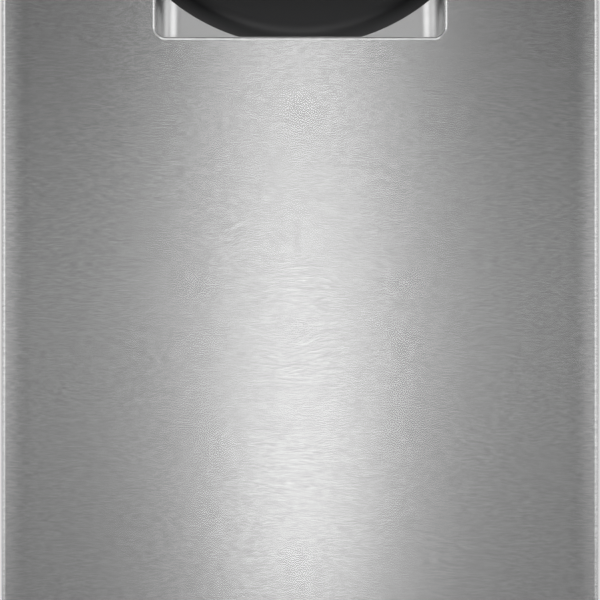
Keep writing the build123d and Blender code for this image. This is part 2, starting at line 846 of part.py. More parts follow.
# Levelling feet: a six-sided pad on a threaded stud
foot_pad_radius = 20
foot_pad_height = 9
foot_pad_slope = 3
stud_top = 102
feet = {}
foot_places = {
    "foot_front_left": (-foot_x, foot_front_y),
    "foot_front_right": (foot_x, foot_front_y),
    "foot_rear_left": (-foot_x, foot_back_y),
    "foot_rear_right": (foot_x, foot_back_y),
}
for foot_name, (place_x, place_y) in foot_places.items():
    with BuildPart() as foot:
        with BuildSketch(level(0)):
            with Locations((place_x, place_y)):
                RegularPolygon(foot_pad_radius, 6)
        extrude(amount=foot_pad_height)
        chamfer(foot.faces().sort_by(Axis.Z)[-1].edges(), foot_pad_slope)
        with BuildSketch(level(foot_pad_height)):
            with Locations((place_x, place_y)):
                Circle(foot_stud_radius)
        extrude(amount=stud_top - foot_pad_height)
    feet[foot_name] = foot

# Mounting brackets: tabs on the header that are screwed up into a counter
bracket_x = 150
bracket_width = 28
bracket_reach = 26
bracket_hole_radius = 2.5
bracket_sheet = machine_height - frame_top
with BuildPart() as mounting_brackets:
    with BuildSketch(level(frame_top)):
        with Locations((-bracket_x, tub_front + frame_return), (bracket_x, tub_front + frame_return)):
            Rectangle(bracket_width, bracket_reach + frame_return, align=(Align.CENTER, Align.MAX))
        with Locations(
            (-bracket_x, tub_front - bracket_reach / 2), (bracket_x, tub_front - bracket_reach / 2)
        ):
            Circle(bracket_hole_radius, mode=Mode.SUBTRACT)
    extrude(amount=bracket_sheet)

# Door strike: a tongue with a window, on a plate on the header
strike_z = 838
strike_sheet = 2
strike_width = 24
strike_reach = 26
window_length = 9
window_width = 12
strike_plate_width = 48
strike_plate_height = 16
claw_y = tub_front - 16
with BuildPart() as door_strike:
    with BuildSketch(level(strike_z)):
        with Locations((0, tub_front)):
            Rectangle(strike_width, strike_reach, align=(Align.CENTER, Align.MAX))
        with Locations((0, claw_y)):
            Rectangle(window_width, window_length, mode=Mode.SUBTRACT)
    extrude(amount=strike_sheet)
    with BuildSketch(upright(tub_front - strike_sheet)):
        with Locations((0, strike_z - strike_sheet)):
            Rectangle(strike_plate_width, strike_plate_height, align=(Align.CENTER, Align.MIN))
    extrude(amount=-strike_sheet)

# Outer door panel: one sheet with rounded upright edges, a rolled pocket opening and edges turned back
with BuildPart() as door_outer_panel:
    with BuildSketch(level(door_panel_bottom)) as panel_profile:
        with Locations((0, front_y)):
            Rectangle(door_width, door_return, align=(Align.CENTER, Align.MIN))
        fillet(panel_profile.vertices().group_by(Axis.Y)[0], door_edge_radius)
        with Locations((0, front_y + door_skin)):
            Rectangle(
                door_width - 2 * door_skin, door_return, align=(Align.CENTER, Align.MIN), mode=Mode.SUBTRACT
            )
    extrude(amount=door_panel_top - door_panel_bottom)
    with BuildSketch(level(door_panel_bottom)):
        with Locations((0, front_y + door_skin)):
            Rectangle(door_width - 2 * door_skin, bottom_return, align=(Align.CENTER, Align.MIN))
    extrude(amount=door_skin)
    with BuildSketch(upright(front_y + door_skin)):
        with Locations((0, (pocket_bottom + pocket_top) / 2)):
            RectangleRounded(
                pocket_width + 2 * door_skin, pocket_height + 2 * door_skin, pocket_corner + door_skin
            )
    extrude(amount=-(pocket_rim_depth - door_skin))
    with BuildSketch(upright(front_y)):
        with Locations((0, (pocket_bottom + pocket_top) / 2)):
            RectangleRounded(pocket_width, pocket_height, pocket_corner)
    extrude(amount=-2 * pocket_rim_depth, mode=Mode.SUBTRACT)
    rim = door_outer_panel.faces().sort_by(Axis.Y)[0].inner_wires()[0]
    fillet(rim.edges(), pocket_rim_round)

# Pocket tray: drawn steel with wide round ends, cut to an arc where the scoop begins
tray_half = pocket_width / 2 - tray_inset
tray_front = front_y + pocket_rim_depth
tray_back = tray_front + tray_depth
tray_bottom = pocket_bottom + tray_inset
tray_flange = 6


def tray_form(grow):
    """The hollow of the tray, grown by one wall for its outside."""
    with BuildPart() as form:
        with BuildSketch(level(tray_bottom - grow)) as plan:
            with Locations((0, tray_front)):
                Rectangle(2 * (tray_half + grow), tray_depth + grow, align=(Align.CENTER, Align.MIN))
            fillet(plan.vertices().group_by(Axis.Y)[-1], tray_side_radius + grow)
        extrude(amount=pocket_height + 2 * grow)
        with BuildSketch(upright(tray_front)) as elevation:
            with Locations((0, tray_bottom - grow)):
                Rectangle(2 * (tray_half + grow), 2 * pocket_height, align=(Align.CENTER, Align.MIN))
            fillet(elevation.vertices().group_by(Axis.Y)[0], pocket_corner - tray_inset + grow)
        extrude(amount=-2 * tray_depth, mode=Mode.INTERSECT)
    return form


tray_outside = tray_form(tray_sheet)
tray_inside = tray_form(0)
with BuildPart() as handle_tray:
    add(tray_outside.part)
    with BuildSketch(upright(tray_front)):
        with Locations((0, pocket_bottom - tray_flange)):
            Rectangle(
                pocket_width + 2 * tray_flange, pocket_height + tray_flange, align=(Align.CENTER, Align.MIN)
            )
    extrude(amount=-tray_sheet)
    add(tray_inside.part, mode=Mode.SUBTRACT)
    with BuildSketch(upright(tray_front)):
        with Locations((0, pocket_top)):
            Rectangle(2 * pocket_width, pocket_height, align=(Align.CENTER, Align.MIN))
    extrude(amount=-2 * tray_depth, mode=Mode.SUBTRACT)
    with BuildSketch(upright(front_y)):
        with Locations((0, scoop_centre_z)):
            Circle(scoop_radius)
        with Locations((0, tray_bottom)):
            Rectangle(3 * pocket_width, pocket_height, align=(Align.CENTER, Align.MAX), mode=Mode.SUBTRACT)
    extrude(amount=-2 * tray_depth, mode=Mode.SUBTRACT)

# Pocket scoop: a dark moulded bowl of revolution behind the arc, and the finger space above the opening
scoop_front = tray_back + tray_sheet
scoop_back = scoop_front + scoop_depth
scoop_half = pocket_width / 2 + scoop_side_gap
scoop_bend = (scoop_depth**2 + scoop_lift**2) / (2 * scoop_depth)
scoop_bend_z = scoop_centre_z - scoop_radius + scoop_lift


def scoop_form(grow):
    """The hollow behind the arc, grown by one wall for its outside."""
    with BuildPart() as form:
        with BuildSketch(side(0)):
            with Locations((scoop_back - scoop_bend, scoop_bend_z)):
                Circle(scoop_bend + grow)
            with Locations((scoop_front, scoop_bend_z)):
                Rectangle(scoop_depth + grow, scoop_centre_z - scoop_bend_z, align=(Align.MIN, Align.MIN))
                Rectangle(4 * scoop_bend, 4 * scoop_bend, align=(Align.MAX, Align.CENTER), mode=Mode.SUBTRACT)
        revolve(axis=Axis((0, 0, scoop_centre_z), (0, 1, 0)))
        with BuildSketch(upright(scoop_front)):
            with Locations((0, pocket_top + grip_rise + grow)):
                Rectangle(
                    2 * (scoop_half + grow),
                    pocket_height + grip_rise + 4 * scoop_lift,
                    align=(Align.CENTER, Align.MAX),
                )
        extrude(amount=-2 * scoop_depth, mode=Mode.INTERSECT)
    return form


scoop_outside = scoop_form(scoop_wall)
scoop_inside = scoop_form(0)
with BuildPart() as handle_bowl:
    add(scoop_outside.part)
    with BuildSketch(upright(front_y + door_skin)):
        with Locations((0, pocket_top + grip_rise + scoop_wall)):
            Rectangle(
                2 * (scoop_half + scoop_wall), grip_rise + scoop_wall, align=(Align.CENTER, Align.MAX)
            )
    extrude(amount=-(scoop_back + scoop_wall - front_y - door_skin))
    with BuildSketch(upright(scoop_front)):
        with Locations((0, tray_bottom - tray_flange)):
            Rectangle(
                2 * (scoop_half + scoop_wall), pocket_height + tray_flange, align=(Align.CENTER, Align.MIN)
            )
    extrude(amount=-scoop_wall)
    add(scoop_inside.part, mode=Mode.SUBTRACT)
    with BuildSketch(upright(front_y)):
        with Locations((0, pocket_top + grip_rise)):
            Rectangle(2 * scoop_half, grip_rise + tray_sheet, align=(Align.CENTER, Align.MAX))
    extrude(amount=-(scoop_back - front_y), mode=Mode.SUBTRACT)

# Inner door liner: a pressed sheet with two wheel tracks, notched at its lower corners for the hinges
track_half_width = 9
track_wall = 4
track_rise = 9.5
track_bottom = 150
track_top = 420
notch_x = frame_outer_half - 15
liner_return = 34
dispenser_x = 15
dispenser_z = 428
dispenser_width = 168
dispenser_height = 148
dispenser_flange = 2.5
dispenser_margin = 7
screw_x = liner_half - 13
screw_heights = (250, 500, 750)
screw_radius = 2
with BuildPart() as door_liner:
    with BuildSketch(upright(liner_y - liner_sheet)):
        with Locations((0, liner_bottom)):
            Rectangle(2 * liner_half, liner_top - liner_bottom, align=(Align.CENTER, Align.MIN))
        with Locations((-liner_half, liner_bottom), (liner_half, liner_bottom)):
            Rectangle(2 * (liner_half - notch_x), 2 * (web_top - liner_bottom), mode=Mode.SUBTRACT)
    extrude(amount=-liner_sheet)
    with BuildSketch(upright(liner_y - liner_sheet)):
        with Locations((0, web_top)):
            Rectangle(2 * liner_half, liner_top - web_top, align=(Align.CENTER, Align.MIN))
            Rectangle(
                2 * (liner_half - liner_sheet),
                liner_top - liner_sheet - web_top,
                align=(Align.CENTER, Align.MIN),
                mode=Mode.SUBTRACT,
            )
        with Locations((0, liner_bottom)):
            Rectangle(2 * notch_x, liner_sheet, align=(Align.CENTER, Align.MIN))
    extrude(amount=liner_return)
    track_length = track_top - track_bottom
    track_z = (track_top + track_bottom) / 2
    with BuildSketch(upright(liner_y)):
        with Locations((-wheel_x, track_z), (wheel_x, track_z)):
            Rectangle(2 * track_half_width, track_length)
    extrude(amount=-track_rise)
    with BuildSketch(upright(liner_y - liner_sheet)):
        with Locations((-wheel_x, track_z), (wheel_x, track_z)):
            Rectangle(2 * (track_half_width - track_wall), track_length - 2 * track_wall)
    extrude(amount=-track_rise, mode=Mode.SUBTRACT)
    with BuildSketch(upright(liner_y)):
        with Locations((dispenser_x, dispenser_z)):
            Rectangle(dispenser_width - 2 * dispenser_margin, dispenser_height - 2 * dispenser_margin)
        for screw_z in screw_heights:
            with Locations((-screw_x, screw_z), (screw_x, screw_z)):
                Circle(screw_radius + shaft_gap)
    extrude(amount=2 * liner_sheet, mode=Mode.SUBTRACT)

screw_head_radius = 4
screw_head = 2
screw_length = 10
with BuildPart() as liner_screws:
    with BuildSketch(upright(liner_y)):
        for screw_z in screw_heights:
            with Locations((-screw_x, screw_z), (screw_x, screw_z)):
                RegularPolygon(screw_head_radius, 6)
    extrude(amount=-screw_head)
    with BuildSketch(upright(liner_y)):
        for screw_z in screw_heights:
            with Locations((-screw_x, screw_z), (screw_x, screw_z)):
                RegularPolygon(screw_radius, 8)
    extrude(amount=screw_length)

# Insulation pad on the back of the outer panel, under the pocket
insulation_thickness = 12
insulation_margin = 12
insulation_bottom = liner_bottom - 8
insulation_top_gap = 28
insulation_height = pocket_bottom - insulation_top_gap - insulation_bottom
insulation_half = liner_half - insulation_margin
with BuildPart() as door_insulation:
    with BuildSketch(upright(front_y + door_skin)):
        with Locations((0, insulation_bottom)):
            Rectangle(2 * insulation_half, insulation_height, align=(Align.CENTER, Align.MIN))
    extrude(amount=-insulation_thickness)

# Lower door seal: a strip along the liner's foot with a lip that meets the tub's sill
seal_half = wheel_x - track_half_width - 2
seal_bottom = liner_bottom + 2
seal_height = 14
seal_sheet = 3
seal_lip = 8
with BuildPart() as lower_door_seal:
    with BuildSketch(side(-seal_half)):
        with Locations((liner_y, seal_bottom)):
            Rectangle(seal_sheet, seal_height, align=(Align.MIN, Align.MIN))
        with Locations((liner_y, seal_bottom + seal_height - seal_sheet)):
            Rectangle(seal_lip, seal_sheet, align=(Align.MIN, Align.MAX))
    extrude(amount=2 * seal_half)

# Hinge arms: bent up inside the door, with a tail behind the pivot for the spring
arm_top = 300
arm_width = 24
arm_back_y = pivot_y + 2
arm_eye_radius = 12
tail_eye_radius = 7
tab_height = 24
tab_heights = (215, 280)
with BuildPart() as hinge_arms:
    with BuildSketch(side(arm_inner_x)):
        with Locations((pivot_y, pivot_z)):
            Circle(arm_eye_radius)
        with Locations((arm_back_y, pivot_z)):
            Rectangle(arm_width, arm_top - pivot_z, align=(Align.MAX, Align.MIN))
        with BuildLine():
            Polyline(
                (pivot_y - 8, pivot_z + 9),
                (pivot_y + 8, pivot_z - 9),
                (spring_y + 6, spring_z - 4),
                (spring_y - 4, spring_z + 6),
                (pivot_y - 8, pivot_z + 9),
            )
        make_face()
        with Locations((spring_y, spring_z)):
            RegularPolygon(tail_eye_radius, 8)
        with Locations((pivot_y, pivot_z)):
            Circle(pivot_radius + shaft_gap, mode=Mode.SUBTRACT)
        with Locations((spring_y, spring_z)):
            RegularPolygon(hook_radius + slide_gap, 8, mode=Mode.SUBTRACT)
    extrude(amount=arm_sheet)
    # Tabs bent out to the liner's returns take its screws
    with BuildSketch(upright(arm_back_y - arm_width)):
        for tab_z in tab_heights:
            with Locations((arm_outer_x, tab_z)):
                Rectangle(liner_half - arm_outer_x, tab_height, align=(Align.MIN, Align.CENTER))
    extrude(amount=-arm_sheet)
    mirror(about=Plane.YZ)

# Control strip: the housing along the door's top edge, with the button holes and the latch slot
strip_top = door_panel_top - 1
strip_bottom = liner_top
strip_wall = 2
strip_round = 3
button_width = 16
button_length = 9
button_corner = 1.7
button_lip = 2
button_lip_sheet = 1.5
button_stem = 5
button_under = strip_top - strip_wall - slide_gap
button_y = (front_y + liner_y) / 2
button_inset = 89
button_pitch = 40
button_places = {
    "power_button": button_inset - door_width / 2,
    "cycle_button": button_inset + button_pitch - door_width / 2,
    "options_button": button_inset + 2 * button_pitch - door_width / 2,
    "start_button": door_width / 2 - button_inset,
}
latch_y = liner_y - 22
latch_z = strip_top - 7.5
latch_pin_radius = 2
latch_cheek = 3
latch_cheek_size = 10
cheek_inner = 8


def button_outline(place_x, grow):
    """A button's outline with cut corners, grown by a gap for its hole."""
    with BuildSketch() as outline:
        with Locations((place_x, button_y)):
            Rectangle(button_width + 2 * grow, button_length + 2 * grow)
        chamfer(outline.vertices(), button_corner)
    return outline.sketch


with BuildPart() as control_strip:
    with BuildSketch(level(strip_bottom)):
        with Locations((0, front_y + door_skin)):
            Rectangle(2 * liner_half, liner_y - front_y - door_skin, align=(Align.CENTER, Align.MIN))
    extrude(amount=strip_top - strip_bottom)
    fillet(control_strip.edges().filter_by(Axis.X).group_by(Axis.Z)[-1].sort_by(Axis.Y)[-1], strip_round)
    with BuildSketch(level(strip_bottom)):
        with Locations((0, front_y + door_skin + strip_wall)):
            Rectangle(
                2 * (liner_half - strip_wall),
                liner_y - front_y - door_skin - 2 * strip_wall,
                align=(Align.CENTER, Align.MIN),
            )
    extrude(amount=strip_top - strip_wall - strip_bottom, mode=Mode.SUBTRACT)
    with BuildSketch(level(strip_top)):
        for place_x in button_places.values():
            add(button_outline(place_x, slide_gap))
    extrude(amount=-2 * strip_wall, mode=Mode.SUBTRACT)
    # The tongue of the door strike comes in through a slot at the back
    with BuildSketch(upright(liner_y)):
        with Locations((0, strike_z + strike_sheet / 2)):
            Rectangle(strike_width + 8, strike_sheet + 5)
    extrude(amount=2 * strip_wall, mode=Mode.SUBTRACT)
    # Two cheeks under the roof carry the latch pin
    for cheek_x in (-cheek_inner - latch_cheek, cheek_inner):
        with BuildSketch(side(cheek_x)):
            with Locations((latch_y, strip_top - strip_wall)):
                Rectangle(latch_cheek_size, latch_cheek_size, align=(Align.CENTER, Align.MAX))
            with Locations((latch_y, latch_z)):
                Circle(latch_pin_radius + shaft_gap, mode=Mode.SUBTRACT)
        extrude(amount=latch_cheek)

buttons = {}
for button_name, place_x in button_places.items():
    with BuildPart() as button:
        with BuildSketch(level(button_under)):
            add(button_outline(place_x, 0))
        extrude(amount=door_panel_top - button_under)
        with BuildSketch(level(button_under)):
            with Locations((place_x, button_y)):
                Rectangle(button_width + 2 * button_lip, button_length + 2 * button_lip)
        extrude(amount=-button_lip_sheet)
        with BuildSketch(level(button_under)):
            with Locations((place_x, button_y)):
                Rectangle(button_stem, button_stem)
        extrude(amount=-button_lip_sheet - button_stem)
    buttons[button_name] = button

# Latch hook: turns on its own pin in the strip and drops its claw into the window of the strike
claw_length = 6
claw_clear = 0.5
hook_width = window_width - 2
hook_round = 3.4
hook_top = 3.5
pin_half = cheek_inner + latch_cheek - slide_gap
with BuildPart() as latch_hook:
    with BuildSketch(side(-hook_width / 2)):
        with Locations((latch_y, latch_z)):
            Circle(hook_round)
        with BuildLine():
            Polyline(
                (latch_y, latch_z + hook_top),
                (claw_y + claw_length / 2, latch_z + hook_top - 0.5),
                (claw_y + claw_length / 2 - 1, strike_z + strike_sheet + claw_clear),
                (claw_y - claw_length / 2, strike_z + strike_sheet + claw_clear),
                (claw_y - claw_length / 2, latch_z - 1),
                (latch_y, latch_z - 1),
                (latch_y, latch_z + hook_top),
            )
        make_face()
    extrude(amount=hook_width)
    with BuildSketch(side(-pin_half)):
        with Locations((latch_y, latch_z)):
            Circle(latch_pin_radius)
    extrude(amount=2 * pin_half)

# Dispenser: a body set in the liner, with a detergent cup, lid guides and the rinse aid neck
cup_x = dispenser_x - 28
cup_z = dispenser_z - 34
cup_width = 68
cup_height = 54
cup_depth = 26
cup_floor = 3
cup_corner = 8
dispenser_corner = 8
insert_gap = 0.5
lid_margin = 5
lid_thickness = 3
lid_travel = 56
lid_rib = 2.5
guide_wall = 3
guide_lip = 2.5
guide_lip_sheet = 1.2
dispenser_face = liner_y + dispenser_flange
cap_x = dispenser_x + 50
cap_z = cup_z
cap_radius = 17
cap_thickness = 3
cap_grip = 4
neck_radius = 10
neck_length = 12
lid_y = dispenser_face + slide_gap
lid_half = cup_width / 2 + lid_margin
guide_top = cup_z + cup_height / 2 + lid_margin + lid_travel
guide_bottom = cup_z - cup_height / 2 - lid_margin
with BuildPart() as dispenser_body:
    with BuildSketch(upright(liner_y)):
        with Locations((dispenser_x, dispenser_z)):
            RectangleRounded(dispenser_width, dispenser_height, dispenser_corner)
    extrude(amount=-dispenser_flange)
    with BuildSketch(upright(liner_y)):
        with Locations((dispenser_x, dispenser_z)):
            Rectangle(
                dispenser_width - 2 * (dispenser_margin + insert_gap),
                dispenser_height - 2 * (dispenser_margin + insert_gap),
            )
    extrude(amount=cup_depth + cup_floor)
    with BuildSketch(upright(dispenser_face)):
        with Locations((cup_x, cup_z)):
            RectangleRounded(cup_width, cup_height, cup_corner)
    extrude(amount=cup_depth, mode=Mode.SUBTRACT)
    with BuildSketch(upright(dispenser_face)):
        for hand in (-1, 1):
            with Locations((cup_x + hand * (lid_half + slide_gap + guide_wall / 2), guide_bottom)):
                Rectangle(guide_wall, guide_top - guide_bottom, align=(Align.CENTER, Align.MIN))
    extrude(amount=-(lid_thickness + 2 * slide_gap))
    with BuildSketch(upright(dispenser_face + lid_thickness + 2 * slide_gap)):
        for hand in (-1, 1):
            with Locations((cup_x + hand * (lid_half + slide_gap + guide_wall), guide_bottom)):
                Rectangle(
                    guide_wall + guide_lip,
                    guide_top - guide_bottom,
                    align=(Align.MAX if hand > 0 else Align.MIN, Align.MIN),
                )
    extrude(amount=-guide_lip_sheet)
    # A stop under the lid
    with BuildSketch(upright(dispenser_face)):
        with Locations((cup_x, guide_bottom)):
            Rectangle(2 * lid_half, guide_wall, align=(Align.CENTER, Align.MAX))
    extrude(amount=-lid_thickness)
    with BuildSketch(upright(dispenser_face)):
        with Locations((cap_x, cap_z)):
            Circle(neck_radius + shaft_gap)
    extrude(amount=neck_length + 2, mode=Mode.SUBTRACT)

with BuildPart() as dispenser_lid:
    with BuildSketch(upright(lid_y)):
        with Locations((cup_x, cup_z)):
            Rectangle(2 * lid_half, cup_height + 2 * lid_margin)
    extrude(amount=-lid_thickness)
    with BuildSketch(upright(lid_y + lid_thickness)):
        with Locations((cup_x, cup_z - cup_height / 2 + lid_margin)):
            Rectangle(cup_width - 4 * lid_margin, lid_margin)
    extrude(amount=-lid_rib, taper=10)

with BuildPart() as rinse_cap:
    with BuildSketch(upright(lid_y)):
        with Locations((cap_x, cap_z)):
            Circle(cap_radius)
    extrude(amount=-cap_thickness)
    with BuildSketch(upright(lid_y + cap_thickness)):
        with Locations((cap_x, cap_z)):
            Rectangle(2 * cap_radius - 8, cap_thickness + 2)
    extrude(amount=-cap_grip, taper=8)
    with BuildSketch(upright(lid_y)):
        with Locations((cap_x, cap_z)):
            Circle(neck_radius)
    extrude(amount=neck_length)


def wire_grid(plane, centre, size, cells):
    """A flat welded wire grille: crossing wires round rows of open cells, on the given plane."""
    pitch_x = (size[0] - wire) / cells[0]
    pitch_y = (size[1] - wire) / cells[1]
    with BuildSketch(plane) as grille:
        with Locations(centre):
            Rectangle(*size)
            with GridLocations(pitch_x, pitch_y, *cells):
                Rectangle(pitch_x - wire, pitch_y - wire, mode=Mode.SUBTRACT)
    extrude(grille.sketch, amount=wire)


def rack_basket(half, front, back, floor_z, height, wall_rows):
    """An open rack: a floor grille and four upright grilles on it, each its own welded frame."""
    length = back - front
    middle = (front + back) / 2
    wall_height = height - wire - weld_gap
    wall_z = floor_z + wire + weld_gap + wall_height / 2
    wire_grid(level(floor_z), (0, middle), (2 * half, length), rack_floor_cells)
    for wall_x in (-half, half - wire):
        wire_grid(side(wall_x), (middle, wall_z), (length, wall_height), (rack_side_cells, wall_rows))
    for wall_y in (front + wire, back):
        end_width = 2 * (half - wire - weld_gap)
        wire_grid(upright(wall_y), (0, wall_z), (end_width, wall_height), (rack_end_cells, wall_rows))


def tine_comb(x, front, back, floor_z, height, count):
    """A row of plate tines on one base wire, running front to back."""
    base = floor_z + wire + weld_gap
    pitch = (back - front - wire) / (count - 1)
    with BuildSketch(side(x - wire / 2)) as comb:
        with Locations(((front + back) / 2, base)):
            Rectangle(back - front, wire, align=(Align.CENTER, Align.MIN))
        with Locations(((front + back) / 2, base)):
            with GridLocations(pitch, 0, count, 1):
                Rectangle(wire, height, align=(Align.CENTER, Align.MIN))
    extrude(comb.sketch, amount=wire)


# Lower rack: floor, walls and fixed tine rows, with stub axles for its wheels
tine_height = 78
tine_count = 12
tine_row_pitch = 88
first_tine_row = tine_row_pitch - 2 - lower_half
fold_x = first_tine_row + 2 * tine_row_pitch
lower_tine_front = lower_front + 22
lower_tine_back = rack_back - 26
axle_radius = 4
axle_length = 20
axle_bracket = 22
wheel_z = ledge_z + slide_gap + wheel_radius
with BuildPart() as lower_rack:
    rack_basket(lower_half, lower_front, rack_back, lower_floor, lower_height, 2)
    for comb_x in (first_tine_row, first_tine_row + tine_row_pitch):
        tine_comb(comb_x, lower_tine_front, lower_tine_back, lower_floor, tine_height, tine_count)
    # Drop brackets under the floor carry the axles
    for wheel_y in (front_wheel_y, rear_wheel_y):
        for hand in (-1, 1):
            with BuildSketch(side(hand * lower_half)):
                with Locations((wheel_y, lower_floor - weld_gap)):
                    Rectangle(
                        axle_bracket, lower_floor - wheel_z + 2 * axle_radius, align=(Align.CENTER, Align.MAX)
                    )
            extrude(amount=-hand * wire)
            with BuildSketch(side(hand * lower_half)):
                with Locations((wheel_y, wheel_z)):
                    Circle(axle_radius)
            extrude(amount=hand * axle_length)

wheel_rim = 3
wheel_web = 4


def wheel_pair(y):
    """The two wheels on one axle line, each with a groove between its rim and its hub on the outside."""
    with BuildPart() as pair:
        with BuildSketch(side(wheel_x - wheel_width / 2)):
            with Locations((y, wheel_z)):
                Circle(wheel_radius)
        extrude(amount=wheel_width)
        with BuildSketch(side(wheel_x + wheel_width / 2)):
            with Locations((y, wheel_z)):
                Circle(wheel_radius - wheel_rim)
                Circle(axle_radius + wheel_rim, mode=Mode.SUBTRACT)
        extrude(amount=wheel_web - wheel_width, mode=Mode.SUBTRACT)
        with BuildSketch(side(wheel_x - wheel_width)):
            with Locations((y, wheel_z)):
                Circle(axle_radius + shaft_gap)
        extrude(amount=2 * wheel_width, mode=Mode.SUBTRACT)
        mirror(about=Plane.YZ)
    return pair


front_wheels = wheel_pair(front_wheel_y)
rear_wheels = wheel_pair(rear_wheel_y)

# Folding tines: one row that turns down to the left on its own base wire, with a round journal at each end
fold_radius = wire / 2
fold_journal = 6
fold_pivot_z = lower_floor + wire + slide_gap + fold_radius
fold_pitch = (lower_tine_back - lower_tine_front - wire) / (tine_count - 1)
with BuildPart() as folding_tines:
    with BuildSketch(side(fold_x - fold_radius)):
        with Locations(((lower_tine_front + lower_tine_back) / 2, fold_pivot_z)):
            with GridLocations(fold_pitch, 0, tine_count, 1):
                Rectangle(wire, tine_height - wire, align=(Align.CENTER, Align.MIN))
    extrude(amount=wire)
    with BuildSketch(upright(lower_tine_front)):
        with Locations((fold_x, fold_pivot_z)):
            RegularPolygon(fold_radius, 8)
    extrude(amount=lower_tine_front - lower_tine_back)
    for journal_y in (lower_tine_front, lower_tine_back + fold_journal):
        with BuildSketch(upright(journal_y)):
            with Locations((fold_x, fold_pivot_z)):
                Circle(fold_radius)
        extrude(amount=fold_journal)

# Cutlery basket: a box with three dividers, standing in the lower rack, and a loop on the middle one
basket_x = lower_half - 50
basket_y = (lower_front + rack_back) / 2 - 70
basket_width = 84
basket_length = 250
basket_height = 104
basket_wall = 2.4
basket_corner = 4
basket_floor = lower_floor + wire + slide_gap
cell_count = 4
cell_length = (basket_length - (cell_count + 1) * basket_wall) / cell_count
loop_thickness = 6
loop_width = 26
loop_height = 34
loop_wire = 5
with BuildPart() as cutlery_basket:
    with BuildSketch(level(basket_floor)):
        with Locations((basket_x, basket_y)):
            Rectangle(basket_width, basket_length)
    extrude(amount=basket_height)
    fillet(cutlery_basket.edges().filter_by(Axis.Z), basket_corner)
    with BuildSketch(level(basket_floor + basket_wall)):
        with Locations((basket_x, basket_y)):
            with GridLocations(0, cell_length + basket_wall, 1, cell_count):
                Rectangle(basket_width - 2 * basket_wall, cell_length)
    extrude(amount=basket_height, mode=Mode.SUBTRACT)
    with BuildSketch(upright(basket_y)):
        with Locations((basket_x, basket_floor + basket_height)):
            Rectangle(loop_width, loop_height, align=(Align.CENTER, Align.MIN))
            Rectangle(
                loop_width - 2 * loop_wire,
                loop_height - loop_wire,
                align=(Align.CENTER, Align.MIN),
                mode=Mode.SUBTRACT,
            )
    extrude(amount=loop_thickness / 2, both=True)

# Upper rack: floor, walls and two tine rows
upper_tine_height = 56
upper_tine_count = 11
upper_tine_inset = 97
upper_tine_pitch = 90
with BuildPart() as upper_rack:
    rack_basket(upper_half, upper_front, rack_back, upper_floor, upper_height, 2)
    for row_inset in (upper_tine_inset + upper_tine_pitch, upper_tine_inset):
        tine_comb(
            upper_half - row_inset,
            upper_front + 24,
            rack_back - 28,
            upper_floor,
            upper_tine_height,
            upper_tine_count,
        )

# The pipe under the upper rack docks with the conduit and feeds the middle spray arm
with BuildPart() as rack_feed_pipe:
    with BuildSketch(upright(conduit_front - port_length - slide_gap)):
        with Locations((0, upper_pipe_z)):
            Circle(pipe_radius)
    extrude(amount=conduit_front - port_length - slide_gap - hub_y)
    with BuildSketch(level(upper_floor)):
        with Locations((0, hub_y)):
            Circle(conduit_post_radius)
    extrude(amount=-(upper_floor - middle_arm_z + arm_retainer + retainer_gap))
    with BuildSketch(level(middle_arm_z - slide_gap)):
        with Locations((0, hub_y)):
            Circle(conduit_post_radius + retainer_lip)
    extrude(amount=-arm_retainer)

# Cup shelf: a grille that folds up against the left wall of the upper rack
shelf_width = 92
shelf_length = 380
shelf_rise = 72
shelf_z = upper_floor + shelf_rise
shelf_cells = (2, 8)
shelf_rod_radius = 2.2
shelf_hinge_x = -upper_half + wire + shelf_rod_radius + slide_gap
with BuildPart() as cup_shelf:
    wire_grid(
        level(shelf_z),
        (shelf_hinge_x + shelf_width / 2, (upper_front + rack_back) / 2),
        (shelf_width, shelf_length),
        shelf_cells,
    )
    with BuildSketch(upright((upper_front + rack_back) / 2 - shelf_length / 2)):
        with Locations((shelf_hinge_x, shelf_z + wire / 2)):
            Circle(shelf_rod_radius)
    extrude(amount=-shelf_length)

# Third rack: a shallow tray for cutlery
with BuildPart() as third_rack:
    rack_basket(upper_half, upper_front, rack_back, third_floor, third_height, 1)

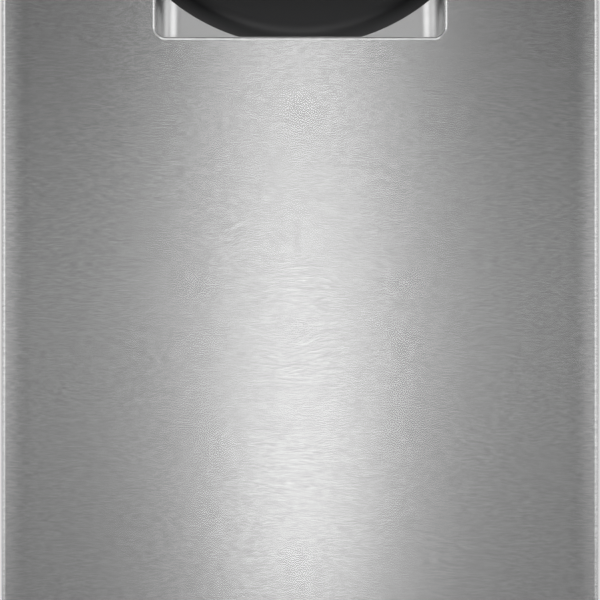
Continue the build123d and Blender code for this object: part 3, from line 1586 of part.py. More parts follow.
pieces = {
    "tub_wrapper": tub_wrapper,
    "tub_back": tub_back,
    "tub_floor": tub_floor,
    "front_frame": front_frame,
    "door_gasket": door_gasket,
    "insulation_blanket": insulation_blanket,
    "feed_conduit": feed_conduit,
    "slide_rail_outer": slide_rail_outer,
    "slide_rail_middle": slide_rail_middle,
    "mounting_brackets": mounting_brackets,
    "door_strike": door_strike,
    "base_frame": base_frame,
    "base_pan": base_pan,
    "toe_kick": toe_kick,
    "hinge_pins": hinge_pins,
    "door_springs": door_springs,
    "sump": sump,
    "filter_plate": filter_plate,
    "filter_cylinder": filter_cylinder,
    "float_switch": float_switch,
    "wash_pump": wash_pump,
    "wash_impeller": wash_impeller,
    "drain_pump": drain_pump,
    "inlet_valve": inlet_valve,
    "junction_box": junction_box,
    "lower_spray_arm": lower_spray_arm,
    "middle_spray_arm": middle_spray_arm,
    "top_spray_arm": top_spray_arm,
    "door_outer_panel": door_outer_panel,
    "handle_tray": handle_tray,
    "handle_bowl": handle_bowl,
    "door_liner": door_liner,
    "door_insulation": door_insulation,
    "liner_screws": liner_screws,
    "lower_door_seal": lower_door_seal,
    "hinge_arms": hinge_arms,
    "control_strip": control_strip,
    "latch_hook": latch_hook,
    "dispenser_body": dispenser_body,
    "dispenser_lid": dispenser_lid,
    "rinse_cap": rinse_cap,
    "lower_rack": lower_rack,
    "front_wheels": front_wheels,
    "rear_wheels": rear_wheels,
    "folding_tines": folding_tines,
    "cutlery_basket": cutlery_basket,
    "upper_rack": upper_rack,
    "upper_rail_inner": upper_rail_inner,
    "rack_feed_pipe": rack_feed_pipe,
    "cup_shelf": cup_shelf,
    "third_rack": third_rack,
    "third_rail_inner": third_rail_inner,
    **feet,
    **buttons,
}
for name, piece in pieces.items():
    piece.part.label = name
    export_step(piece.part, f"parts/{name}.step")
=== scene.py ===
import math
import random

import bmesh
import bpy
from bpy.props import FloatProperty, FloatVectorProperty, IntProperty
from bpy.types import Operator, Panel, PropertyGroup
from mathutils import Matrix, Vector


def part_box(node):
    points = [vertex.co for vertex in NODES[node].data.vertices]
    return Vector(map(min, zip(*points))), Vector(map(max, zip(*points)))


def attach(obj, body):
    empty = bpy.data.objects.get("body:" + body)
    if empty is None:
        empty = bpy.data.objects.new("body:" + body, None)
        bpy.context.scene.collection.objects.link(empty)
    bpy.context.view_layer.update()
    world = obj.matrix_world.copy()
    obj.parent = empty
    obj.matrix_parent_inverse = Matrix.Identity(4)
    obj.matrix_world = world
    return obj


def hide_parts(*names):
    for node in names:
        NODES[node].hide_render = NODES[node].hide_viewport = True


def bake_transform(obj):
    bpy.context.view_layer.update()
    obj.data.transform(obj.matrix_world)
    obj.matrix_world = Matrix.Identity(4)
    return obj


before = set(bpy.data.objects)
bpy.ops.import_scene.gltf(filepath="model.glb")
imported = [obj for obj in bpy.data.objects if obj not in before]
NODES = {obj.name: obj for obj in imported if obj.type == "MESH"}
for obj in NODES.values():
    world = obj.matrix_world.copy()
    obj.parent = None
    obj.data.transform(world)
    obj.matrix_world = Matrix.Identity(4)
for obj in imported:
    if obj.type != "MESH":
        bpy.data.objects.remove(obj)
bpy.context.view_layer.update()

bl_info = {
    "name": "Pocket handle dishwasher",
    "version": (1, 0, 0),
    "blender": (4, 5, 0),
    "location": "View3D > Sidebar > Dishwasher",
    "description": "Dresses a built-in dishwasher with a brushed door and a pocket handle",
    "category": "Object",
}

DOOR_LOW, DOOR_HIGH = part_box("door_outer_panel")

DOOR_CENTRE = ((DOOR_LOW.x + DOOR_HIGH.x) / 2, (DOOR_LOW.z + DOOR_HIGH.z) / 2)
DOOR_HALF_WIDTH = (DOOR_HIGH.x - DOOR_LOW.x) / 2
DOOR_HALF_HEIGHT = (DOOR_HIGH.z - DOOR_LOW.z) / 2
POCKET_CENTRE_HEIGHT = 0.774
POCKET_HALF_WIDTH = 0.145
POCKET_HALF_HEIGHT = 0.031
POCKET_CORNER = 0.011
BOWL_CENTRE_HEIGHT = 0.943
BOWL_RADIUS = 0.207

# Bends that the bump adds to the door's steel: how far they reach from the outline of the door or of the
# pocket, and how far they fall
DOOR_CORNER = 0.002
CROWN_REACH = 0.030
CROWN_DROP = 0.00095
BEND_START = 0.0037
BEND_END = 0.0017
BEND_DROP = 0.0004
RIM_REACH = 0.0024
RIM_DROP = 0.00115

# Scale of the brush lines' noise along the door, into it and up it
BRUSH_GRAIN = (130.0, 130.0, 620.0)

# Meshes: the angle past which an edge stays hard, and how near points are made one
SHARP_ANGLE = math.radians(35)
MERGE_DISTANCE = 0.000001

# Racks: bends and margins of the wires, the distance between tines, and the height over the rack's
# underside of the wires that lie on its floor wires
BASKET_BEND = 0.022
RIM_CORNER = 0.028
CROSS_WIRE_MARGIN = 0.020
LONG_WIRE_MARGIN = 0.024
TINE_PITCH = 0.0389
UPPER_LAYER = 0.005

# The photograph takes in the whole width of the door and stops below its top edge
PHOTO_HALF_WIDTH = 0.3005
PHOTO_CENTRE_HEIGHT = 0.4800
CAMERA_DISTANCE = 4.0


# Lamps: name, place (across, ahead of the door's face, up), height of the aim on the door, width and
# height, group of the power and its share of that group's power
LAMPS = (
    ("Band lamp", (0, 9.0, 0.30), 0.5, (0.24, 0.50), "band", 1.0),
    ("Upper band lamp", (0, 6.2, 1.25), 0.5, (0.18, 0.60), "band", 0.42),
    ("Low band lamp", (0, 2.2, 0.10), 0.3, (0.20, 0.16), "band", 0.049),
    ("Wide lamp", (0, 6.0, 0.48), 0.5, (3.0, 0.30), "wide", 1.0),
    ("Left lamp", (-2.0, 2.6, 0.7), 0.5, (1.6, 2.0), "side", 1.0),
    ("Right lamp", (2.0, 2.6, 0.7), 0.5, (1.6, 2.0), "side", 1.0),
    ("Left rim lamp", (-2.2, 0.2, 0.6), 0.5, (2.0, 2.0), "side", 0.8),
    ("Right rim lamp", (2.2, 0.2, 0.6), 0.5, (2.0, 2.0), "side", 0.8),
    ("Left crown lamp", (-1.45, 6.0, 0.55), 0.5, (0.5, 1.4), "band", 0.40),
    ("Right crown lamp", (1.45, 6.0, 0.55), 0.5, (0.5, 1.4), "band", 0.40),
    ("Top lamp", (0, 2.4, 3.0), 0.5, (2.4, 1.2), "top", 1.0),
)


# Settings that a user would change

class DoorFinish(PropertyGroup):
    steel: FloatVectorProperty(
        name="Door steel", description="Colour of the brushed door", subtype="COLOR",
        size=3, min=0, max=1, default=(0.50, 0.50, 0.50),
    )
    roughness: FloatProperty(
        name="Roughness", description="Roughness of the brushed door", subtype="FACTOR",
        min=0, max=1, default=0.21,
    )
    brushing: FloatProperty(
        name="Brushing", description="How far the brushing stretches a highlight up and down",
        subtype="FACTOR", min=0, max=1, default=0.63,
    )
    line_depth: FloatProperty(
        name="Brush line depth", description="Depth of the brush lines", subtype="DISTANCE",
        unit="LENGTH", min=0, max=0.001, precision=6, default=0.0000012,
    )
    tray_steel: FloatVectorProperty(
        name="Pocket steel", description="Colour of the drawn steel tray of the handle", subtype="COLOR",
        size=3, min=0, max=1, default=(0.62, 0.62, 0.62),
    )
    # The bowl colour is its black plastic, made near black to stand in also for painted shade deep in the
    # pocket
    bowl_black_and_painted_shade: FloatVectorProperty(
        name="Pocket black and painted shade", description="Colour of the moulded bowl of the handle", subtype="COLOR",
        size=3, min=0, max=1, default=(0.008, 0.008, 0.009),
    )
    # Painted light: the lip colour makes the bowl's rim lighter, standing in for light falling on it
    bowl_lip_painted_light: FloatVectorProperty(
        name="Pocket lip painted light", description="Colour of the lighter lip of the bowl", subtype="COLOR",
        size=3, min=0, max=1, default=(0.075, 0.075, 0.076),
    )


class RackFinish(PropertyGroup):
    wire: FloatVectorProperty(
        name="Rack coating", description="Colour of the coated rack wires", subtype="COLOR",
        size=3, min=0, max=1, default=(0.30, 0.32, 0.35),
    )
    wire_diameter: FloatProperty(
        name="Wire", description="Diameter of the rack wires", subtype="DISTANCE",
        unit="LENGTH", min=0.001, max=0.006, precision=4, default=0.0032,
    )
    rim_diameter: FloatProperty(
        name="Rim wire", description="Diameter of the rim wires", subtype="DISTANCE",
        unit="LENGTH", min=0.001, max=0.008, precision=4, default=0.0044,
    )
    spacing: FloatProperty(
        name="Wire spacing", description="Distance between wires of a rack floor", subtype="DISTANCE",
        unit="LENGTH", min=0.01, max=0.1, default=0.034,
    )


class CabinetFinish(PropertyGroup):
    felt: FloatVectorProperty(
        name="Felt", description="Colour of the sound blanket", subtype="COLOR",
        size=3, min=0, max=1, default=(0.10, 0.10, 0.105),
    )
    spring_turns: IntProperty(
        name="Spring turns", description="Turns of each door spring", min=10, max=60, default=34,
    )


class StudioLight(PropertyGroup):
    background: FloatProperty(
        name="Background", description="Brightness of the plain background", subtype="FACTOR",
        min=0, max=1, default=0.70,
    )
    floor: FloatProperty(
        name="Floor", description="Brightness added to the floor for the camera alone", subtype="FACTOR",
        min=0, max=1, default=0.52,
    )
    fill: FloatProperty(
        name="Fill", description="Even light from all round on dull surfaces", subtype="FACTOR",
        min=0, max=1, default=0.50,
    )
    reflection: FloatProperty(
        name="Reflection", description="Brightness of the room that glossy surfaces mirror",
        subtype="FACTOR", min=0, max=1, default=0.04,
    )
    dome: FloatProperty(
        name="Ceiling", description="Brightness of the ceiling that glossy surfaces mirror",
        subtype="FACTOR", min=0, max=1, default=0.75,
    )
    band_watts: FloatProperty(
        name="Band lamps", description="Power of the narrow lamps whose reflection is the bright band",
        unit="POWER", min=0, default=5.3,
    )
    wide_watts: FloatProperty(
        name="Wide lamp", description="Power of the wide lamp that lifts the whole door",
        unit="POWER", min=0, default=3.1,
    )
    side_watts: FloatProperty(
        name="Side lamps", description="Power of each side lamp", unit="POWER", min=0, default=19,
    )
    top_watts: FloatProperty(
        name="Top lamp", description="Power of the high lamp in front", unit="POWER", min=0, default=14,
    )


# Materials

def new_material(name, colour, roughness, metallic=0.0):
    """A Principled material and its shader node."""
    material = bpy.data.materials.new(name)
    material.use_nodes = True
    shader = material.node_tree.nodes["Principled BSDF"]
    shader.inputs["Base Color"].default_value = (*colour, 1.0)
    shader.inputs["Roughness"].default_value = roughness
    shader.inputs["Metallic"].default_value = metallic
    return material, shader


def add_node(material, kind, **settings):
    """A new node of the material, with its plain settings."""
    node = material.node_tree.nodes.new(kind)
    for name, value in settings.items():
        setattr(node, name, value)
    return node


def join_nodes(material, source, target):
    """Links an output socket to an input socket."""
    material.node_tree.links.new(source, target)


def noise_value(material, scale, detail=2.0, roughness=0.5):
    """Noise on Object coordinates, stretched by a scale for each direction."""
    place = add_node(material, "ShaderNodeTexCoord")
    stretch = add_node(material, "ShaderNodeMapping")
    stretch.inputs["Scale"].default_value = scale
    noise = add_node(material, "ShaderNodeTexNoise")
    noise.inputs["Scale"].default_value = 1.0
    noise.inputs["Detail"].default_value = detail
    noise.inputs["Roughness"].default_value = roughness
    join_nodes(material, place.outputs["Object"], stretch.inputs["Vector"])
    join_nodes(material, stretch.outputs["Vector"], noise.inputs["Vector"])
    return noise.outputs["Fac"]


def cell_colour(material, scale):
    """Cells on Object coordinates, each with its own random colour."""
    place = add_node(material, "ShaderNodeTexCoord")
    cells = add_node(material, "ShaderNodeTexVoronoi")
    cells.inputs["Scale"].default_value = scale
    join_nodes(material, place.outputs["Object"], cells.inputs["Vector"])
    return cells.outputs["Color"]


def vary_number(material, value, low, high, socket):
    """Maps a noise value to a range of a shader's number."""
    spread = add_node(material, "ShaderNodeMapRange")
    spread.inputs["From Min"].default_value = 0.25
    spread.inputs["From Max"].default_value = 0.75
    spread.inputs["To Min"].default_value = low
    spread.inputs["To Max"].default_value = high
    join_nodes(material, value, spread.inputs["Value"])
    join_nodes(material, spread.outputs["Result"], socket)


def vary_colour(material, value, dark, light, socket):
    """Mixes two colours by a noise value."""
    blend = add_node(material, "ShaderNodeValToRGB")
    blend.color_ramp.elements[0].position = 0.3
    blend.color_ramp.elements[0].color = (*dark, 1.0)
    blend.color_ramp.elements[1].position = 0.7
    blend.color_ramp.elements[1].color = (*light, 1.0)
    join_nodes(material, value, blend.inputs["Fac"])
    join_nodes(material, blend.outputs["Color"], socket)


def raise_surface(material, shader, value, depth, strength=1.0, under=None):
    """Bump from a noise value, over any bump that lies under it."""
    bump = add_node(material, "ShaderNodeBump")
    bump.inputs["Strength"].default_value = strength
    bump.inputs["Distance"].default_value = depth
    join_nodes(material, value, bump.inputs["Height"])
    if under is not None:
        join_nodes(material, under.outputs["Normal"], bump.inputs["Normal"])
    join_nodes(material, bump.outputs["Normal"], shader.inputs["Normal"])
    return bump


def shade(colour, factor):
    """A colour made lighter or darker, kept within white."""
    return tuple(min(1.0, channel * factor) for channel in colour)


def vector_step(material, operation, source, value=(0.0, 0.0, 0.0), output="Vector"):
    """One step of vector arithmetic on a socket."""
    step = add_node(material, "ShaderNodeVectorMath", operation=operation)
    join_nodes(material, source, step.inputs[0])
    step.inputs[1].default_value = value
    return step.outputs[output]


def number_step(material, operation, first, second):
    """One step of arithmetic on a socket and a number or another socket."""
    step = add_node(material, "ShaderNodeMath", operation=operation)
    join_nodes(material, first, step.inputs[0])
    if isinstance(second, (int, float)):
        step.inputs[1].default_value = second
    else:
        join_nodes(material, second, step.inputs[1])
    return step.outputs["Value"]


def outline_distance(material, centre, half_width, half_height, corner):
    """The distance from a rounded rectangle in the door's face, below zero inside it."""
    place = add_node(material, "ShaderNodeTexCoord")
    flat = vector_step(material, "MULTIPLY", place.outputs["Object"], (1.0, 0.0, 1.0))
    moved = vector_step(material, "SUBTRACT", flat, (centre[0], 0.0, centre[1]))
    folded = vector_step(material, "ABSOLUTE", moved)
    past = vector_step(material, "SUBTRACT", folded, (half_width - corner, 0.0, half_height - corner))
    beyond = vector_step(material, "MAXIMUM", past)
    outside = vector_step(material, "LENGTH", beyond, output="Value")
    split = add_node(material, "ShaderNodeSeparateXYZ")
    join_nodes(material, past, split.inputs["Vector"])
    nearest = number_step(material, "MAXIMUM", split.outputs["X"], split.outputs["Z"])
    inside = number_step(material, "MINIMUM", nearest, 0.0)
    return number_step(material, "SUBTRACT", number_step(material, "ADD", outside, inside), corner)


def sheet_fall(material, distance, far, near, drop, curve=1.0):
    """The height of a sheet that falls by a drop between two distances from an outline."""
    reach = add_node(material, "ShaderNodeMapRange")
    reach.inputs["From Min"].default_value = far
    reach.inputs["From Max"].default_value = near
    join_nodes(material, distance, reach.inputs["Value"])
    fall = number_step(material, "POWER", reach.outputs["Result"], curve)
    return number_step(material, "MULTIPLY", fall, -drop)


def brushed_steel(name, finish):
    """The door's brushed steel: short fine lines, with highlights stretched across them."""
    material, shader = new_material(name, finish.steel, finish.roughness, metallic=1.0)
    shader.inputs["Anisotropic"].default_value = finish.brushing
    tangent = add_node(material, "ShaderNodeTangent", direction_type="RADIAL", axis="X")
    join_nodes(material, tangent.outputs["Tangent"], shader.inputs["Tangent"])
    lines = noise_value(material, BRUSH_GRAIN, detail=1.5)
    patches = noise_value(material, tuple(size / 5 for size in BRUSH_GRAIN), detail=2.0)
    dark, light = shade(finish.steel, 0.88), shade(finish.steel, 1.08)
    vary_colour(material, lines, dark, light, shader.inputs["Base Color"])
    smooth, rough = finish.roughness - 0.003, finish.roughness + 0.003
    vary_number(material, patches, smooth, rough, shader.inputs["Roughness"])
    edge = outline_distance(material, DOOR_CENTRE, DOOR_HALF_WIDTH, DOOR_HALF_HEIGHT, DOOR_CORNER)
    opening = outline_distance(
        material, (0.0, POCKET_CENTRE_HEIGHT), POCKET_HALF_WIDTH, POCKET_HALF_HEIGHT, POCKET_CORNER
    )
    crown_fall = sheet_fall(material, edge, -CROWN_REACH, 0.0, CROWN_DROP, curve=2.0)
    bend_fall = sheet_fall(material, edge, -BEND_START, -BEND_END, BEND_DROP)
    rim_fall = sheet_fall(material, opening, RIM_REACH, 0.0, RIM_DROP)
    crown = raise_surface(material, shader, crown_fall, depth=1.0)
    bend = raise_surface(material, shader, bend_fall, depth=1.0, under=crown)
    rim = raise_surface(material, shader, rim_fall, depth=1.0, under=bend)
    raise_surface(material, shader, lines, finish.line_depth, under=rim)
    return material


def satin_steel(name, colour, roughness, grain=60.0):
    """Rolled sheet steel: faint clouds and a fine short grain."""
    material, shader = new_material(name, colour, roughness, metallic=1.0)
    clouds = noise_value(material, (5.0, 5.0, 5.0), detail=3.0)
    rolled = noise_value(material, (grain, grain, grain * 12), detail=3.0)
    vary_colour(material, clouds, shade(colour, 0.94), shade(colour, 1.04), shader.inputs["Base Color"])
    vary_number(material, rolled, roughness - 0.04, roughness + 0.05, shader.inputs["Roughness"])
    raise_surface(material, shader, rolled, 0.000005)
    return material


def zinc_plate(name, colour, roughness):
    """Zinc plated steel: a faint pattern of crystals and dull patches."""
    material, shader = new_material(name, colour, roughness, metallic=1.0)
    crystals = cell_colour(material, 140.0)
    level = add_node(material, "ShaderNodeSeparateColor")
    join_nodes(material, crystals, level.inputs["Color"])
    vary_colour(
        material, level.outputs["Red"], shade(colour, 0.86), shade(colour, 1.1), shader.inputs["Base Color"]
    )
    patches = noise_value(material, (25.0, 25.0, 25.0), detail=4.0)
    vary_number(material, patches, roughness - 0.08, roughness + 0.1, shader.inputs["Roughness"])
    raise_surface(material, shader, patches, 0.00003)
    return material


def moulded_plastic(name, colour, roughness, texture=900.0, depth=0.00003, coat=0.0):
    """Moulded plastic: a fine spark-eroded texture and slightly uneven gloss."""
    material, shader = new_material(name, colour, roughness)
    shader.inputs["Coat Weight"].default_value = coat
    shader.inputs["Coat Roughness"].default_value = 0.15
    flow = noise_value(material, (14.0, 14.0, 14.0), detail=3.0)
    skin = noise_value(material, (texture, texture, texture), detail=2.0)
    vary_colour(material, flow, shade(colour, 0.93), shade(colour, 1.06), shader.inputs["Base Color"])
    vary_number(material, flow, roughness - 0.04, roughness + 0.05, shader.inputs["Roughness"])
    raise_surface(material, shader, skin, depth, strength=0.6)
    return material


def soft_rubber(name, colour):
    """Extruded rubber: drawn lines along its length and a dusty bloom."""
    material, shader = new_material(name, colour, 0.62)
    bloom = noise_value(material, (45.0, 45.0, 45.0), detail=5.0)
    vary_colour(material, bloom, shade(colour, 0.8), shade(colour, 1.6), shader.inputs["Base Color"])
    vary_number(material, bloom, 0.52, 0.74, shader.inputs["Roughness"])
    raise_surface(material, shader, noise_value(material, (700.0, 700.0, 700.0)), 0.00004, strength=0.7)
    return material


def needled_felt(name, colour):
    """Needled felt: mixed fibres in two tones, a soft sheen and a deep uneven nap."""
    material, shader = new_material(name, colour, 0.95)
    shader.inputs["Sheen Weight"].default_value = 0.35
    shader.inputs["Sheen Roughness"].default_value = 0.6
    fibres = noise_value(material, (420.0, 420.0, 160.0), detail=6.0, roughness=0.75)
    tufts = noise_value(material, (38.0, 38.0, 38.0), detail=4.0, roughness=0.65)
    vary_colour(material, fibres, shade(colour, 0.5), shade(colour, 2.1), shader.inputs["Base Color"])
    nap = raise_surface(material, shader, tufts, 0.0012, strength=0.8)
    raise_surface(material, shader, fibres, 0.0005, strength=0.9, under=nap)
    return material


def powder_coat(name, colour, roughness):
    """Powder coat: a faint orange peel."""
    material, shader = new_material(name, colour, roughness)
    peel = noise_value(material, (260.0, 260.0, 260.0), detail=1.0)
    patches = noise_value(material, (9.0, 9.0, 9.0), detail=3.0)
    vary_colour(material, patches, shade(colour, 0.85), shade(colour, 1.2), shader.inputs["Base Color"])
    vary_number(material, patches, roughness - 0.05, roughness + 0.06, shader.inputs["Roughness"])
    raise_surface(material, shader, peel, 0.00006, strength=0.5)
    return material


def dress(material, *names):
    """Gives CAD nodes a material."""
    for name in names:
        for held in NODES[name].material_slots:
            held.material = material


# Meshes

def finish_mesh(name, mesh, material):
    """A smooth-shaded object that holds the mesh, with its hard edges kept."""
    mesh.shade_smooth()
    mesh.set_sharp_from_angle(angle=SHARP_ANGLE)
    mesh.materials.clear()
    mesh.materials.append(material)
    piece = bpy.data.objects.new(name, mesh)
    bpy.context.scene.collection.objects.link(piece)
    return piece


def mesh_from_open(name, bm, material):
    """Turns an open sheet into a piece, with its faces left as they point."""
    mesh = bpy.data.meshes.new(name)
    bm.to_mesh(mesh)
    bm.free()
    return finish_mesh(name, mesh, material)


def mesh_from(name, bm, material):
    """Turns a closed bmesh into a finished piece, with its faces pointing outwards."""
    bmesh.ops.remove_doubles(bm, verts=bm.verts, dist=MERGE_DISTANCE)
    bmesh.ops.recalc_face_normals(bm, faces=bm.faces)
    return mesh_from_open(name, bm, material)


def thicken_felt(sheet, thickness, offset):
    """Gives a sheet of felt its thickness and rounds its edges."""
    thicken = sheet.modifiers.new("Felt thickness", "SOLIDIFY")
    thicken.thickness = thickness
    thicken.offset = offset
    soften = sheet.modifiers.new("Felt edges", "SUBSURF")
    soften.levels = 1
    soften.render_levels = 1


def rounded_run(corners, radius, steps=4):
    """The points of a wire that turns each of its corners in a round bend."""
    corners = [Vector(corner) for corner in corners]
    points = [corners[0]]
    for before, corner, after in zip(corners, corners[1:], corners[2:]):
        reach = min(radius, (corner - before).length / 2, (after - corner).length / 2)
        start = corner + (before - corner).normalized() * reach
        end = corner + (after - corner).normalized() * reach
        for step in range(steps + 1):
            t = step / steps
            points.append(start.lerp(corner, t).lerp(corner.lerp(end, t), t))
    points.append(corners[-1])
    return points


def add_wire(curve, points, thickness=1.0):
    """Adds one wire to a curve; thickness is relative to the curve's own."""
    spline = curve.splines.new("POLY")
    spline.points.add(len(points) - 1)
    for target, point in zip(spline.points, points):
        target.co = (*point, 1.0)
        target.radius = thickness


def wire_curve(name, diameter):
    """An empty curve whose splines become round wires."""
    curve = bpy.data.curves.new(name, "CURVE")
    curve.dimensions = "3D"
    curve.bevel_depth = diameter / 2
    curve.bevel_resolution = 2
    curve.use_fill_caps = True
    return curve


def mesh_from_curve(name, curve, material):
    """Turns a curve of wires into a finished piece."""
    holder = bpy.data.objects.new(name + "_run", curve)
    bpy.context.scene.collection.objects.link(holder)
    mesh = bpy.data.meshes.new_from_object(holder)
    bpy.data.objects.remove(holder)
    mesh.name = name
    return finish_mesh(name, mesh, material)


def spread(low, high, spacing):
    """Evenly spaced places from low to high, near the asked spacing."""
    count = max(2, round((high - low) / spacing) + 1)
    return [low + (high - low) * number / (count - 1) for number in range(count)]


def comb_wires(curve, x, places, base, height):
    """A row of tines: each is one wire up from a base wire."""
    add_wire(curve, [Vector((x, places[0], base)), Vector((x, places[-1], base))])
    for place in places:
        add_wire(curve, [Vector((x, place, base)), Vector((x, place, base + height))])


def basket_curve(name, low, high, settings, wall_levels):
    """The wires of an open rack: bent cross wires and lengthwise wires, with rims round the top."""
    wire = settings.wire_diameter
    curve = wire_curve(name, wire)
    inset = wire / 2
    rim = settings.rim_diameter / wire
    left, right = low.x + inset, high.x - inset
    front, back = low.y + inset, high.y - inset
    floor, top = low.z + inset, high.z - settings.rim_diameter / 2
    bend = min(BASKET_BEND, (top - floor) * 0.45)
    for y in spread(front + CROSS_WIRE_MARGIN, back - CROSS_WIRE_MARGIN, settings.spacing):
        run = [(left, y, top), (left, y, floor), (right, y, floor), (right, y, top)]
        add_wire(curve, rounded_run(run, bend))
    for x in spread(left + LONG_WIRE_MARGIN, right - LONG_WIRE_MARGIN, settings.spacing * 1.5):
        run = [(x, front, top), (x, front, floor), (x, back, floor), (x, back, top)]
        add_wire(curve, rounded_run(run, bend))
    for level in wall_levels:
        height = floor + (top - floor) * level
        thickness = rim if level == 1 else 1.0
        grow = 0.0 if level == 1 else wire * 0.6
        run = [
            ((left + right) / 2, front + grow, height), (right - grow, front + grow, height),
            (right - grow, back - grow, height), (left + grow, back - grow, height),
            (left + grow, front + grow, height), ((left + right) / 2, front + grow, height),
        ]
        add_wire(curve, rounded_run(run, RIM_CORNER, steps=5), thickness)
    return curve


# Pieces

class DISHWASHER_OT_door(Operator):
    """Gives the door panel its brushed steel and the pocket handle its drawn steel and black bowl; the bowl's
    near-black colour is partly painted shade and its lip carries painted light
    """
    bl_idname = "dishwasher.door"
    bl_label = "Finish door and pocket handle"

    def execute(self, context):
        finish = context.scene.dishwasher_door
        dress(brushed_steel("Brushed door steel", finish), "door_outer_panel")
        tray_steel = satin_steel("Drawn pocket steel", finish.tray_steel, 0.34, grain=30.0)
        dress(tray_steel, "handle_tray")
        # Painted shade: the bowl's near-black colour stands in also for the shade deep in the pocket
        bowl = moulded_plastic("Pocket bowl black with painted shade and lip light", finish.bowl_black_and_painted_shade, 0.42, texture=1500.0, depth=0.00002)
        # Painted light: the bowl's lip is made lighter where light falls on the rim
        self.paint_lip_light(bowl, finish.bowl_lip_painted_light)
        dress(bowl, "handle_bowl")
        return {"FINISHED"}

    def paint_lip_light(self, material, colour):
        """Painted light: a lighter colour on the last millimetres of the bowl's round lip, standing in for
        the light that falls on the rim.
        """
        shader = material.node_tree.nodes["Principled BSDF"]
        black = shader.inputs["Base Color"].links[0].from_socket
        lip = outline_distance(material, (0.0, BOWL_CENTRE_HEIGHT), BOWL_RADIUS, BOWL_RADIUS, BOWL_RADIUS)
        near = add_node(material, "ShaderNodeMapRange")
        near.inputs["From Min"].default_value = -0.014
        near.inputs["From Max"].default_value = -0.001
        join_nodes(material, lip, near.inputs["Value"])
        lip_light_mix = add_node(material, "ShaderNodeMix", data_type="RGBA")
        join_nodes(material, near.outputs["Result"], lip_light_mix.inputs["Factor"])
        join_nodes(material, black, lip_light_mix.inputs["A"])
        lip_light_mix.inputs["B"].default_value = (*colour, 1.0)
        join_nodes(material, lip_light_mix.outputs["Result"], shader.inputs["Base Color"])


class DISHWASHER_OT_door_inside(Operator):
    """Finishes the inside of the door: liner, dispenser, latch, control strip and buttons"""
    bl_idname = "dishwasher.door_inside"
    bl_label = "Finish inside of door"

    def execute(self, context):
        dress(satin_steel("Door liner steel", (0.60, 0.60, 0.60), 0.26), "door_liner")
        dress(zinc_plate("Door hinge zinc", (0.52, 0.53, 0.54), 0.38), "hinge_arms", "liner_screws")
        dress(moulded_plastic("Control strip black", (0.014, 0.014, 0.015), 0.22, coat=0.3), "control_strip")
        button = moulded_plastic("Push button grey", (0.24, 0.24, 0.25), 0.34, texture=1200.0)
        dress(button, "power_button", "cycle_button", "options_button", "start_button")
        dress(moulded_plastic("Latch black", (0.03, 0.03, 0.032), 0.4), "latch_hook")
        dress(moulded_plastic("Dispenser grey", (0.36, 0.37, 0.38), 0.42), "dispenser_body")
        light = moulded_plastic("Dispenser light grey", (0.68, 0.69, 0.69), 0.36)
        dress(light, "dispenser_lid", "rinse_cap")
        self.pad()
        self.seal()
        return {"FINISHED"}

    def pad(self):
        """The needled felt pad behind the outer panel, with a soft uneven face."""
        low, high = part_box("door_insulation")
        bm = bmesh.new()
        grid = bmesh.ops.create_grid(bm, x_segments=44, y_segments=44, size=0.5)
        margin = 0.006
        wide, tall = high.x - low.x - margin, high.z - low.z - margin
        middle = (low + high) / 2
        turn = Matrix.Rotation(math.pi / 2, 4, "X")
        place = Matrix.Translation(middle) @ turn @ Matrix.Diagonal((wide, tall, 1, 1))
        bmesh.ops.transform(bm, matrix=place, verts=grid["verts"])
        unevenness = 0.0009
        rolls = random.Random(7)
        for vert in bm.verts:
            vert.co.y += rolls.uniform(-unevenness, unevenness)
        pad = mesh_from_open("door_felt_pad", bm, needled_felt("Door pad felt", (0.12, 0.12, 0.12)))
        thicken_felt(pad, high.y - low.y - 0.0030, 0)
        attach(pad, "door")
        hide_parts("door_insulation")

    def seal(self):
        """The rubber strip along the foot of the liner, with its curled lip."""
        low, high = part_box("lower_door_seal")
        root, lip = low.y + 0.0004, high.y - 0.0012
        profile = [
            (root, low.z + 0.0006), (root + 0.0022, low.z + 0.0006), (root + 0.0026, high.z - 0.0046),
            (root + 0.0040, high.z - 0.0034), (lip, high.z - 0.0040), (lip + 0.0008, high.z - 0.0026),
            (lip, high.z - 0.0012), (root + 0.0030, high.z - 0.0006), (root, high.z - 0.0018),
        ]
        bm = bmesh.new()
        verts = [bm.verts.new((low.x + 0.0005, y, z)) for y, z in profile]
        section = bm.faces.new(verts)
        grown = bmesh.ops.extrude_face_region(bm, geom=[section], use_keep_orig=True)["geom"]
        moved = [item for item in grown if isinstance(item, bmesh.types.BMVert)]
        bmesh.ops.translate(bm, verts=moved, vec=(high.x - low.x - 0.001, 0, 0))
        seal = mesh_from("sill_seal", bm, soft_rubber("Sill rubber", (0.035, 0.035, 0.037)))
        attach(seal, "door")
        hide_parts("lower_door_seal")


